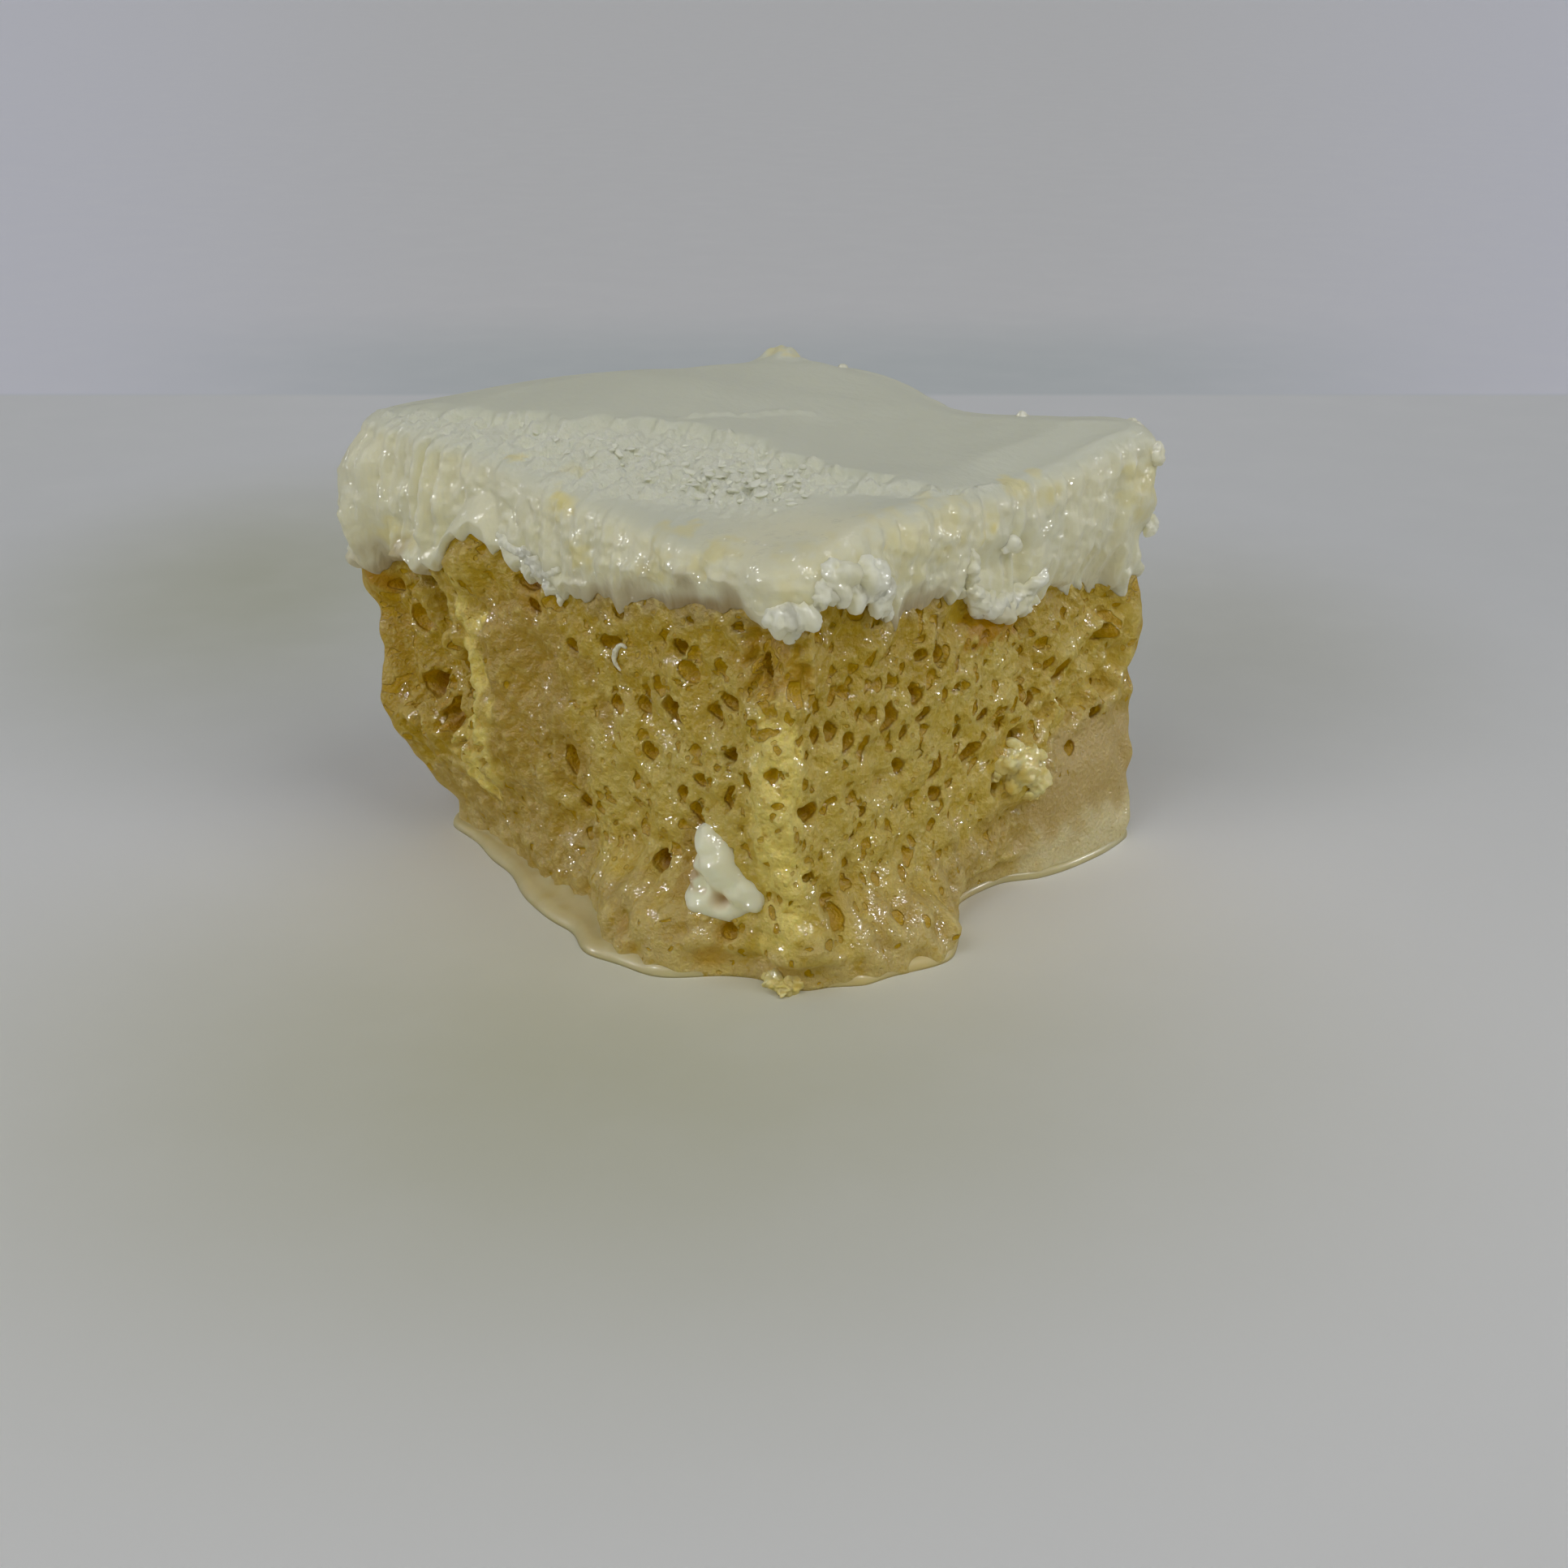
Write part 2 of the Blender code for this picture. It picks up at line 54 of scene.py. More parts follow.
# Painted shadows of the cake on the table; the one in front is also tinted yellow as painted light off the
# cake.
TABLE_PAINTED_SHADOWS = (  # metres to the camera's right and behind the middle, how wide and how deep, colour
    (-0.015, -0.06, 0.045, 0.038, (0.70, 0.70, 0.555)),
    (-0.085, 0.115, 0.03, 0.05, (0.645, 0.655, 0.55)),
    (0.07, 0.085, 0.025, 0.04, (0.72, 0.725, 0.68)),
)
PAINTED_SHADOW_REACH = 2.3  # how far out a shade fades away, in its own widths
PAPER_WAVES = 60.0  # for each metre
VIEW_TURN = 42.4  # degrees
VIEW_DOWN = 20.9
CAMERA_PLACE = (0.17803, -0.19251, 0.107)
FOCAL_PIXELS = 2800.0
IMAGE_PIXELS = 1932.0
SENSOR = 36.0
LIGHTS = (  # name, degrees round from the camera, degrees up, its width in the sky, strength
    ("window_left", -38.0, 44.0, 40.0, 0.53),
    ("window_right", 48.0, 46.0, 40.0, 0.55),
)
SPARKS = (  # the same: small lamps that only show as reflections on what is wet
    ("lamp_left", -60.0, 46.0, 2.0, 9.0),
    ("lamp_low_left", -88.0, 18.0, 2.0, 9.0),
    ("lamp_right", 50.0, 50.0, 2.0, 9.0),
    ("lamp_low_right", 96.0, 18.0, 2.0, 9.0),
    ("lamp_near", -6.0, 60.0, 2.0, 7.0),
    ("lamp_far", 150.0, 58.0, 2.0, 5.0),
)
ROOM_COLOUR = (0.98, 1.0, 1.0)
ROOM_STRENGTH = 0.20


def add_node(tree, kind, inputs=None, **settings):
    """A shader node with its settings, and its inputs: each a plain value or another node's output."""
    made = tree.nodes.new(kind)
    for key, value in settings.items():
        setattr(made, key, value)
    for key, value in (inputs or {}).items():
        if isinstance(value, bpy.types.NodeSocket):
            tree.links.new(value, made.inputs[key])
        else:
            made.inputs[key].default_value = value
    return made


def mix(tree, share, first, second):
    """Colour between two colours, by a share from 0 to 1."""
    first, second = ((*end, 1.0) if isinstance(end, tuple) else end for end in (first, second))
    return add_node(tree, "ShaderNodeMix", {0: share, 6: first, 7: second}, data_type="RGBA").outputs[2]


def work_out(tree, operation, *values):
    """Result of a maths node on numbers and other nodes' outputs."""
    return add_node(tree, "ShaderNodeMath", dict(enumerate(values)), operation=operation).outputs[0]


def work_out_vector(tree, operation, *values):
    """Result of a vector maths node: a number for a length or a dot product, and else a vector."""
    made = add_node(tree, "ShaderNodeVectorMath", dict(enumerate(values)), operation=operation)
    return made.outputs["Value" if operation in ("LENGTH", "DOT_PRODUCT") else "Vector"]


def object_place(tree):
    """The point's place on the object, in metres."""
    return add_node(tree, "ShaderNodeTexCoord").outputs["Object"]


def noise(tree, place, waves, detail):
    """Soft noise from 0 to 1, with so many waves for each metre."""
    settings = {"Vector": place, "Scale": waves, "Detail": detail}
    return add_node(tree, "ShaderNodeTexNoise", settings).outputs["Fac"]


def ramp(tree, value, low, high):
    """A value stretched so that low gives 0 and high gives 1, smoothly and held between them."""
    settings = {"Value": value, "From Min": low, "From Max": high}
    made = add_node(tree, "ShaderNodeMapRange", settings, interpolation_type="SMOOTHSTEP")
    return made.outputs["Result"]


def new_material(name):
    """A node material and its tree and Principled shader."""
    material = bpy.data.materials.new(name)
    material.use_nodes = True
    return material, material.node_tree, material.node_tree.nodes["Principled BSDF"]


table_mesh = bpy.data.meshes.new("table")
corners = [(x * TABLE_HALF, y * TABLE_HALF, 0.0) for x, y in ((-1, -1), (1, -1), (1, 1), (-1, 1))]
table_mesh.from_pydata(corners, [], [(0, 1, 2, 3)])
table = bpy.data.objects.new("table", table_mesh)
bpy.context.scene.collection.objects.link(table)
table_paint, tree, shader = new_material("table")
place = object_place(tree)
turn, down = np.radians(VIEW_TURN), np.radians(VIEW_DOWN)
behind = work_out_vector(tree, "DOT_PRODUCT", place, (-np.sin(turn), np.cos(turn), 0.0))
across = work_out_vector(tree, "DOT_PRODUCT", place, (np.cos(turn), np.sin(turn), 0.0))
# Painted fall-off of light: darker further from the camera.
tone = mix(tree, ramp(tree, behind, *TABLE_FALLOFF_SHADE), TABLE_COLOUR, TABLE_FALLOFF_SHADE_COLOUR)
on_table = add_node(tree, "ShaderNodeCombineXYZ", {"X": across, "Y": behind}).outputs[0]
# Painted shadows round the cake.
for right, back, wide, deep, shade in TABLE_PAINTED_SHADOWS:
    away = work_out_vector(tree, "ADD", on_table, (-right, -back, 0.0))
    away = work_out_vector(tree, "MULTIPLY", away, (1.0 / wide, 1.0 / deep, 0.0))
    tone = mix(tree, ramp(tree, work_out_vector(tree, "LENGTH", away), PAINTED_SHADOW_REACH, 0.0), tone, shade)
beyond = ramp(tree, behind, *TABLE_BAND)
tone = mix(tree, beyond, tone, TABLE_BAND_COLOUR)
tone = mix(tree, ramp(tree, behind, *TABLE_FAR), tone, TABLE_FAR_COLOUR)
from_camera = work_out(tree, "ADD", behind, CAMERA_AWAY)
aside = work_out(tree, "DIVIDE", work_out(tree, "ABSOLUTE", across), from_camera)
aside = work_out(tree, "MULTIPLY", ramp(tree, aside, *TABLE_SIDE), beyond)
tone = mix(tree, aside, tone, TABLE_SIDE_COLOUR)
paper = ramp(tree, noise(tree, place, waves=PAPER_WAVES, detail=3.0), 0.2, 3.0)
tree.links.new(mix(tree, paper, tone, TABLE_COLOUR), shader.inputs["Base Color"])
shader.inputs["Roughness"].default_value = 0.8
shader.inputs["Specular IOR Level"].default_value = 0.0
table_mesh.materials.append(table_paint)

for name, round_by, up_by, wide, strength in LIGHTS + SPARKS:
    lamp = bpy.data.lights.new(name, "SUN")
    lamp.angle = np.radians(wide)
    lamp.energy = strength
    holder = bpy.data.objects.new(name, lamp)
    holder.rotation_euler = (np.pi / 2.0 - np.radians(up_by), 0.0, turn + np.radians(round_by))
    holder.visible_diffuse = not name.startswith("lamp")
    bpy.context.scene.collection.objects.link(holder)
room = bpy.data.worlds.new("room")
room.use_nodes = True
room.node_tree.nodes["Background"].inputs["Color"].default_value = (*ROOM_COLOUR, 1.0)
room.node_tree.nodes["Background"].inputs["Strength"].default_value = ROOM_STRENGTH
bpy.context.scene.world = room

camera = bpy.data.objects.new("camera", bpy.data.cameras.new("camera"))
camera.location = CAMERA_PLACE
camera.rotation_euler = (np.pi / 2.0 - down, 0.0, turn)
camera.data.sensor_width = SENSOR
camera.data.lens = SENSOR * FOCAL_PIXELS / IMAGE_PIXELS
camera.data.clip_start = 0.01
bpy.context.scene.collection.objects.link(camera)
bpy.context.scene.camera = camera
bpy.context.scene.view_settings.view_transform = "Standard"


# The sponge: a baked egg sponge that has soaked up milk, cut and torn to a square. Its sides are a wall
# worked out over the place u and the height, pushed out by crumb and pushed in by round pores; smeared and
# milk-filled places are smoother, and its foot and top are closed flat.
MM = 0.001
SIDE = 64.0
ROUND = 4.0 * SIDE
CORNER_TURN = 0.1
SPONGE_LEVELS = (0.0, 8.0, 12.0, 16.0, 27.0, 36.0)
SPONGE_CORNERS = (  # near, right, back and left corner at each level
    ((31.2, -31.2), (30.8, 30.2), (-28.0, 30.6), (-31.5, -22.0)),
    ((31.4, -31.6), (31.0, 30.6), (-28.6, 31.2), (-32.5, -26.7)),
    ((31.6, -31.8), (31.9, 31.3), (-29.2, 31.6), (-34.6, -29.0)),
    ((31.8, -31.8), (31.6, 30.8), (-29.8, 31.8), (-36.8, -31.3)),
    ((31.8, -31.8), (33.0, 32.0), (-30.0, 32.2), (-37.0, -31.1)),
    ((31.4, -31.4), (31.6, 30.6), (-29.6, 32.6), (-39.0, -32.3)),
)
SPONGE_ROUNDING = 2.2  # how far along the side a corner is rounded
SPONGE_COLUMNS = (262, 150, 150, 262)  # mesh columns along each side, more where the cut shows best
SPONGE_ROWS = 116
FOOT = 2.4  # the wall is upright below this height
FOOT_FLARE = 1.6  # over so much height the foot goes in
SPONGE_TOP = 38.0
TOP_SHARE = 0.84
SPONGE_RELIEF = ((9.0, 0.32, 3), (4.2, 0.15, 4))  # wavelength, height and seed
RELIEF_FADE = 2.5
SMOOTH_FOOT = (0.87, 0.2, 18.0, 0.6)  # u, half width and height of the smooth lobe, and how smooth it is
PLAN_NOTCH = (1.38, 0.18, -6.0)  # u, half width and depth of the bend in the +Y side
SPONGE_NOTCH_SHARE = 0.6
FROSTING_LOWER_EDGE = (  # u and height
    (0.0, 40.5), (0.07, 41.7), (0.17, 40.8), (0.25, 38.8), (0.43, 38.2), (0.52, 34.1), (0.61, 33.7),
    (0.75, 34.5), (0.95, 33.0), (1.1, 33.5), (1.3, 34.5), (1.5, 35.5), (1.7, 34.5), (2.1, 36.0),
    (2.3, 35.0), (2.5, 36.5), (2.8, 35.2), (3.0, 34.4), (3.14, 36.1), (3.24, 37.0), (3.33, 42.2),
    (3.43, 40.3), (3.54, 38.2), (3.72, 39.3), (3.89, 41.0),
)
FROSTING_DROOP = (  # u and how far the frosting hangs below the upper edge of the sponge
    (0.0, 0.7), (0.08, 0.9), (0.14, 2.6), (0.2, 1.2), (0.45, 0.8), (0.52, 3.9), (0.6, 4.2), (0.68, 1.6),
    (0.9, 0.8), (1.3, 1.8), (1.6, 0.7), (2.2, 1.6), (2.6, 0.7), (3.05, 1.0), (3.22, 1.6), (3.33, 0.5),
    (3.5, 0.9), (3.8, 0.7),
)
FOOT_INSET = (  # u and how far the wall goes in under itself at the table
    (0.0, 1.8), (0.06, 1.4), (0.12, 0.0), (0.4, 0.0), (0.48, 1.7), (0.62, 1.8), (0.7, 0.2), (1.2, 0.0),
    (1.75, 1.5), (2.0, 0.2), (2.6, 1.2), (2.9, 0.0), (3.8, 0.0), (3.89, 0.8),
)
SPONGE_SWELLS = (  # u, height, half width as a share of a side, half height, depth
    (3.73, 2.0, 0.14, 7.0, 5.2),
    (3.47, 1.0, 0.18, 7.0, 2.2),
    (3.33, 41.0, 0.06, 5.0, 1.6),
    (3.0, 36.5, 0.06, 6.5, 2.9),
    (3.33, 22.0, 0.06, 12.0, 1.0),
    (0.2, 2.0, 0.16, 6.0, 2.4),
    (0.85, 6.0, 0.17, 9.0, 1.6),
    (0.63, 14.3, 0.045, 3.4, 2.0),
    (3.97, 24.0, 0.05, 9.0, 1.0),
    (0.03, 8.0, 0.04, 5.0, 1.2),
    (1.4, 14.0, 0.14, 9.0, -2.0),
    (1.75, 24.0, 0.12, 8.0, 1.2),
    (2.3, 22.0, 0.13, 10.0, -1.8),
    (2.7, 8.0, 0.14, 8.0, 1.5),
)
SPONGE_TEARS = (  # the same, and how far the patch leans along the side for each millimetre down
    (3.12, 27.0, 0.12, 12.0, -2.8, 0.0058),
    (0.77, 27.5, 0.17, 9.0, -1.9, 0.0),
    (3.975, 35.9, 0.065, 3.3, -1.3, 0.0),
)
TEAR_EDGES = ((5.0, 0.16, 31), (2.2, 0.1, 32))
TEAR_DEEPEST = 2.6
FOOT_FLOW = (  # u and how far the soaked crumb has slumped out at the foot
    (0.0, 1.6), (0.1, 2.8), (0.2, 3.6), (0.28, 5.1), (0.35, 4.7), (0.42, 3.1), (0.5, 0.9), (0.62, 0.8),
    (0.78, 0.9), (0.92, 1.1), (1.05, 0.6), (1.2, 1.2), (1.5, 3.4), (1.7, 1.0), (1.95, 1.8), (2.2, 0.9),
    (2.45, 3.0), (2.7, 1.0), (2.95, 0.9), (3.1, 0.5), (3.25, 1.6), (3.4, 1.9), (3.5, 2.0), (3.6, 2.7),
    (3.7, 3.4), (3.78, 2.9), (3.86, 1.9), (3.93, 1.4),
)
FOOT_FLOW_LOW = 2.2
FOOT_FLOW_HEIGHT = 5.5
SOAK_LINE = (  # u and the height up to which the crumb is full of milk
    (0.0, 5.0), (0.2, 7.0), (0.35, 8.0), (0.5, 10.0), (0.62, 13.0), (0.75, 17.0), (0.9, 18.5), (1.1, 16.0),
    (1.5, 9.0), (2.0, 11.0), (2.5, 8.0), (3.0, 11.0), (3.2, 13.0), (3.4, 13.0), (3.55, 8.0), (3.75, 7.0),
    (3.9, 5.0),
)
SOAK_FADE = 5.0
UPPER_START = 24.0  # height where the drier upper crumb starts
UPPER_FADE = 12.0
UPPER_SIDES = (2.9, 1.1)  # from the first u round to the second, past the near corner
FILM_START = 4.0  # how far below the sponge's upper edge the wet film under the frosting starts
FILM_FADE = 3.5
FOOT_FILM = (6.0, 5.0)  # height up to which milk covers the foot, and how softly it ends
CREAMY_FOOT = (7.5, 5.0)  # the same for the cream-coloured part
BARE_FOOT = (3.2, 3.55)  # u between which no milk covers the foot
PORE_LAYERS = (  # size of the cell that holds one pore, least and most radius, seed, share of the cells
    (3.7, 0.75, 1.2, 11, 0.46),
    (2.2, 0.5, 0.8, 12, 0.4),
)
PORE_WARPS = ((3.1, 0.22, 51), (1.3, 0.12, 53)), ((3.1, 0.22, 52), (1.3, 0.12, 54))  # along and up
SMALL_HOLES = 1.5  # spacing of the holes that are too small for the mesh
OWN_PITS = (  # u, height, half width, half height, depth, turn: the pores that stand out by their size
    (0.308, 28.6, 1.05, 1.2, 2.4, 0.0),
    (0.331, 26.2, 1.0, 0.8, 2.0, 0.2),
    (0.285, 24.8, 0.6, 1.1, 1.8, -0.2),
    (0.421, 27.9, 0.8, 0.6, 1.8, 0.3),
    (0.241, 26.7, 1.2, 1.9, 2.2, -0.2),
    (0.060, 19.7, 1.4, 1.3, 2.2, -0.4),
    (0.157, 15.4, 0.7, 0.6, 1.8, -0.5),
    (0.269, 8.9, 0.8, 0.8, 1.0, 0.2),
    (0.213, 5.6, 0.9, 0.7, 0.9, 0.5),
    (0.092, 7.3, 1.0, 1.4, 1.4, -0.5),
    (0.046, 12.9, 0.8, 0.6, 1.8, 0.0),
    (0.485, 19.1, 1.7, 1.3, 2.2, 0.1),
    (0.561, 13.9, 0.9, 1.4, 2.2, 0.1),
    (0.375, 19.3, 1.2, 1.5, 1.8, -0.4),
    (0.284, 20.8, 0.7, 1.2, 1.6, 0.3),
    (0.385, 16.0, 1.3, 1.0, 1.6, -0.4),
    (0.187, 17.5, 0.7, 0.8, 1.6, -0.4),
    (0.507, 23.3, 0.9, 0.8, 1.8, 0.0),
    (0.443, 22.0, 0.8, 0.9, 1.8, 0.0),
    (0.865, 18.1, 0.9, 1.1, 2.2, 0.1),
    (0.680, 21.7, 1.3, 1.1, 2.2, 0.3),
    (0.770, 24.4, 1.2, 1.6, 1.8, 0.0),
    (0.882, 27.4, 1.2, 1.3, 1.8, 0.0),
    (0.792, 14.5, 1.0, 1.0, 1.2, 0.0),
    (0.331, 32.9, 1.0, 0.9, 1.8, 0.0),
    (0.371, 32.4, 0.8, 1.0, 1.8, 0.2),
    (0.142, 26.1, 1.0, 1.1, 1.6, 0.0),
    (0.110, 27.5, 0.8, 1.0, 1.6, 0.0),
    (0.075, 27.6, 0.8, 1.2, 1.6, 0.1),
    (3.757, 27.8, 1.5, 1.5, 3.2, 0.0),
    (3.874, 30.5, 1.2, 1.0, 2.0, -0.5),
    (3.842, 29.0, 0.9, 0.9, 1.8, 0.0),
    (3.782, 35.3, 0.9, 1.1, 2.2, 0.0),
    (3.653, 37.2, 0.7, 0.9, 1.6, 0.3),
    (3.807, 38.6, 0.6, 0.5, 1.4, 0.0),
    (3.901, 39.0, 0.7, 0.6, 1.6, 0.0),
    (3.551, 32.3, 0.8, 0.9, 1.6, 0.4),
    (3.630, 33.6, 1.6, 1.0, 1.8, 0.5),
    (3.686, 27.3, 0.8, 1.2, 1.6, 0.2),
    (3.629, 26.4, 1.3, 1.2, 1.4, 0.0),
    (3.696, 22.3, 0.9, 1.0, 1.4, 0.2),
    (3.508, 17.6, 0.9, 2.4, 2.0, 0.05),
    (3.520, 13.2, 1.2, 0.7, 1.6, 0.6),
    (3.510, 9.2, 1.2, 0.8, 1.2, 0.6),
    (3.781, 18.9, 0.7, 1.5, 1.6, -0.2),
    (3.809, 17.2, 0.7, 1.5, 1.8, 0.2),
    (3.878, 19.7, 0.7, 1.5, 1.8, -0.1),
    (3.818, 21.2, 0.9, 0.8, 1.4, 0.3),
    (3.725, 10.4, 1.6, 1.15, 2.8, 0.5),
    (3.881, 25.0, 1.2, 0.8, 2.4, 0.4),
    (3.925, 22.8, 1.0, 1.3, 1.6, 0.0),
    (3.466, 35.5, 0.9, 1.1, 2.2, -0.3),
    (3.453, 38.1, 1.6, 1.2, 2.6, 0.2),
    (3.062, 32.0, 1.2, 0.8, 2.2, 0.2),
    (3.100, 28.4, 1.8, 1.8, 2.0, 0.3),
    (3.121, 20.4, 2.0, 2.0, 2.6, 0.2),
    (3.180, 17.2, 1.5, 2.2, 2.4, -0.3),
    (3.800, 32.8, 1.1, 1.3, 1.4, 0.0),
    (3.889, 5.2, 0.8, 1.0, 1.8, 0.2),
    (3.952, 34.8, 0.7, 1.5, 2.7, 0.45),
)
WALL_PLACES = {  # u, height, half width, half height, soft edge, strength, up to three wobbles of the edge
    "lobe": ((0.86, 6.0, 0.2, 12.0, 0.35, 1.0, 0.0, 0.08),),
    "smeared": ((3.42, 24.0, 0.15, 12.0, 0.6, 1.0, 0.14, 0.12), (3.8, 11.5, 0.035, 5.0, 0.5, 1.0, 0.0, 0.1)),
    "pale": ((3.985, 20.0, 0.05, 15.0, 0.6, 1.0, 0.0, 0.2), (3.295, 24.0, 0.035, 11.0, 0.7, 1.0, 0.0, 0.25),
             (3.22, 12.5, 0.05, 3.5, 0.7, 1.0, 0.0, 0.25)),
    "open": ((0.3, 32.0, 0.40, 11.0, 0.8, 1.0, 0.1),),
    "hollow": ((3.985, 35.0, 0.075, 5.0, 0.8, 1.0),),
    "browned": ((3.76, 38.0, 0.26, 40.0, 0.3, 1.0), (0.29, 38.0, 0.12, 40.0, 0.3, 1.0),
                (3.12, 38.0, 0.12, 40.0, 0.3, 0.8)),
    "upper": ((3.1, 24.0, 0.14, 15.0, 0.6, 1.0, 0.1),),
    "crust": ((0.53, 33.0, 0.08, 1.7, 0.7, 1.0, 0.0, 0.3, 0.2), (3.03, 32.8, 0.03, 1.6, 0.8, 0.8, 0.0, 0.3),
              (3.46, 36.5, 0.03, 2.5, 0.8, 0.5, 0.0, 0.3), (3.87, 2.8, 0.02, 1.3, 0.8, 0.45, 0.0, 0.3),
              (3.885, 5.4, 0.015, 1.2, 0.8, 0.45), (3.71, 2.4, 0.02, 1.2, 0.8, 0.4, 0.0, 0.3)),
    "baked": ((2.5, 22.0, 0.53, 30.0, 0.12, 0.8, 0.05), (1.03, 26.0, 0.05, 10.0, 0.8, 0.7, 0.0, 0.3),
              (3.98, 36.0, 0.075, 4.0, 0.8, 0.95, 0.0, 0.3), (3.02, 33.0, 0.07, 5.0, 0.8, 0.6, 0.0, 0.3)),
}
FILM_SMOOTHING = 5  # how often the skin is averaged with its neighbours for the wet film on it
RELIEF_SMOOTHING = 26  # how often more for the broad shape that ridges and hollows are measured from
SPONGE_CRUMB = (0.659, 0.462, 0.0459)
SPONGE_GREY_CRUMB = (0.686, 0.521, 0.105)
SPONGE_SOAKED = (0.541, 0.374, 0.078)
# Painted shade for the crumb's hollows and painted light for its ridges, also the colours of its dark and
# pale flecks.
SPONGE_DARK_FLECK_AND_HOLLOW_SHADE = (0.553, 0.351, 0.0105)
SPONGE_PALE_FLECK_AND_RIDGE_LIGHT = (0.791, 0.642, 0.186)
# The pores' own deeper colour, also used as painted shade: in holes too small for the mesh and in the upper
# part of each pore.
SPONGE_PIT_AND_SHADE = (0.582, 0.356, 0.003)
SPONGE_LAYERS = (  # a mask and the colour that lies where it is 1, from the lowest up
    ("upper", (0.515, 0.328, 0.005)), ("soaked", SPONGE_SOAKED), ("smeared", (0.505, 0.324, 0.039)),
    ("pale", (0.94, 0.75, 0.175)), ("lobe", (0.612, 0.44, 0.148)), ("film", (0.46, 0.318, 0.077)),
    ("baked", (0.52, 0.30, 0.012)), ("foot", (0.74, 0.58, 0.22)), ("creamy", (0.80, 0.69, 0.36)),
)
# deep: painted shade darkening the deepest chosen pores; crust is the crumb's own orange crust.
SPONGE_TOP_LAYERS = (("crust", (0.53, 0.27, 0.0)), ("deep", (0.33, 0.13, 0.002)))


def smooth_step(x):
    """0 below 0, 1 above 1, and 3x^2 - 2x^3 between."""
    x = np.clip(x, 0.0, 1.0)
    return x * x * (3.0 - 2.0 * x)


def round_curve(keys, u):
    """Value at u of the closed curve through the keys: Catmull-Rom cubics on uneven spacing."""
    at, value = np.array(keys).T
    at = np.concatenate([at[-2:] - 4.0, at, at[:2] + 4.0])
    value = np.concatenate([value[-2:], value, value[:2]])
    slope = np.zeros_like(value)
    slope[1:-1] = (value[2:] - value[:-2]) / (at[2:] - at[:-2])
    u = np.mod(u, 4.0)
    i = np.clip(np.searchsorted(at, u, side="right") - 1, 1, len(at) - 3)
    span = at[i + 1] - at[i]
    x = (u - at[i]) / span
    rise = 3.0 * x**2 - 2.0 * x**3
    ends = value[i] * (1.0 - rise) + value[i + 1] * rise
    return ends + span * (slope[i] * (x**3 - 2.0 * x**2 + x) + slope[i + 1] * (x**3 - x**2))


def ripple(points, wavelength, seed, waves=20):
    """Soft noise of about unit size: a sum of cosines of one wavelength in seeded random directions."""
    rng = np.random.default_rng(seed)
    ways = rng.normal(size=(waves, 3))
    ways *= 2.0 * np.pi / wavelength / np.linalg.norm(ways, axis=1)[:, None]
    phase = rng.uniform(0.0, 2.0 * np.pi, waves)
    return np.cos(points @ ways.T + phase).sum(axis=-1) * np.sqrt(2.0 / waves)


def ripples(points, waves):
    """Sum of soft noises, each given by its wavelength, height and seed."""
    return sum(height * ripple(points, wavelength, seed) for wavelength, height, seed in waves)


def along_side(u, place):
    """How far u is past a place, the short way round."""
    return np.mod(u - place + 2.0, 4.0) - 2.0


def swells(places, u, z):
    """Sum of bumps: each is its depth times a flat-topped bell of the distance along the side and up."""
    total = np.zeros(np.broadcast(u, z).shape)
    for place, height, half_u, half_z, depth in places:
        total += depth * np.exp(-((along_side(u, place) / half_u) ** 4) - ((z - height) / half_z) ** 4)
    return total


def outline(corners, u, rounding):
    """Points of a four-sided outline at u, each the mean of the outline over a stretch of +-rounding."""
    corners = np.broadcast_to(np.asarray(corners, float), (len(u), 4, 2))
    rows = np.arange(len(u))
    steps = np.linspace(-rounding, rounding, 9) / SIDE
    total = np.zeros((len(u), 2))
    for step in steps:
        v = np.mod(u + step, 4.0)
        i = np.minimum(v.astype(int), 3)
        share = (v - i)[:, None]
        total += corners[rows, i] * (1.0 - share) + corners[rows, (i + 1) % 4] * share
    return total / len(steps)


def outward(u):
    """Unit normals of the walls at u, turned smoothly over a short stretch each side of every corner."""
    share = u - np.floor(u)
    after = smooth_step((share + CORNER_TURN) / (2.0 * CORNER_TURN))
    before = smooth_step((share - 1.0 + CORNER_TURN) / (2.0 * CORNER_TURN))
    angle = np.pi / 2.0 * (np.floor(u) - 1.0 + after + before)
    return np.stack([np.cos(angle), np.sin(angle)], axis=-1)


def notch(u):
    """Depth of the hollow bend in the +Y side's outline: a bell."""
    place, half, depth = PLAN_NOTCH
    return depth * np.exp(-(((u - place) / half) ** 2))


def joint_height(u):
    """Height of the sponge's upper edge: the frosting's lower edge plus what the frosting hangs below it."""
    return round_curve(FROSTING_LOWER_EDGE, u) + round_curve(FROSTING_DROOP, u)


def at_corners(u):
    """Bells round the right, back and left corner, where the wall turns and its pores flatten out."""
    return np.exp(-((along_side(u, np.clip(np.round(u), 1, 3)) / 0.07) ** 4))


def tears(u, z, points):
    """Depth of the torn-back patches: flat-topped bells with a ragged edge, from noise at the points."""
    ragged = ripples(points, TEAR_EDGES) * (1.0 - at_corners(u))
    total = np.zeros_like(z)
    for place, height, half_u, half_z, depth, lean in SPONGE_TEARS:
        across = (along_side(u, place) - lean * (height - z)) / half_u
        bell = np.exp(-(across**4) - ((z - height) / half_z) ** 4)
        total += depth * smooth_step((bell + ragged * smooth_step(bell * 8.0) - 0.25) / 0.4)
    return total


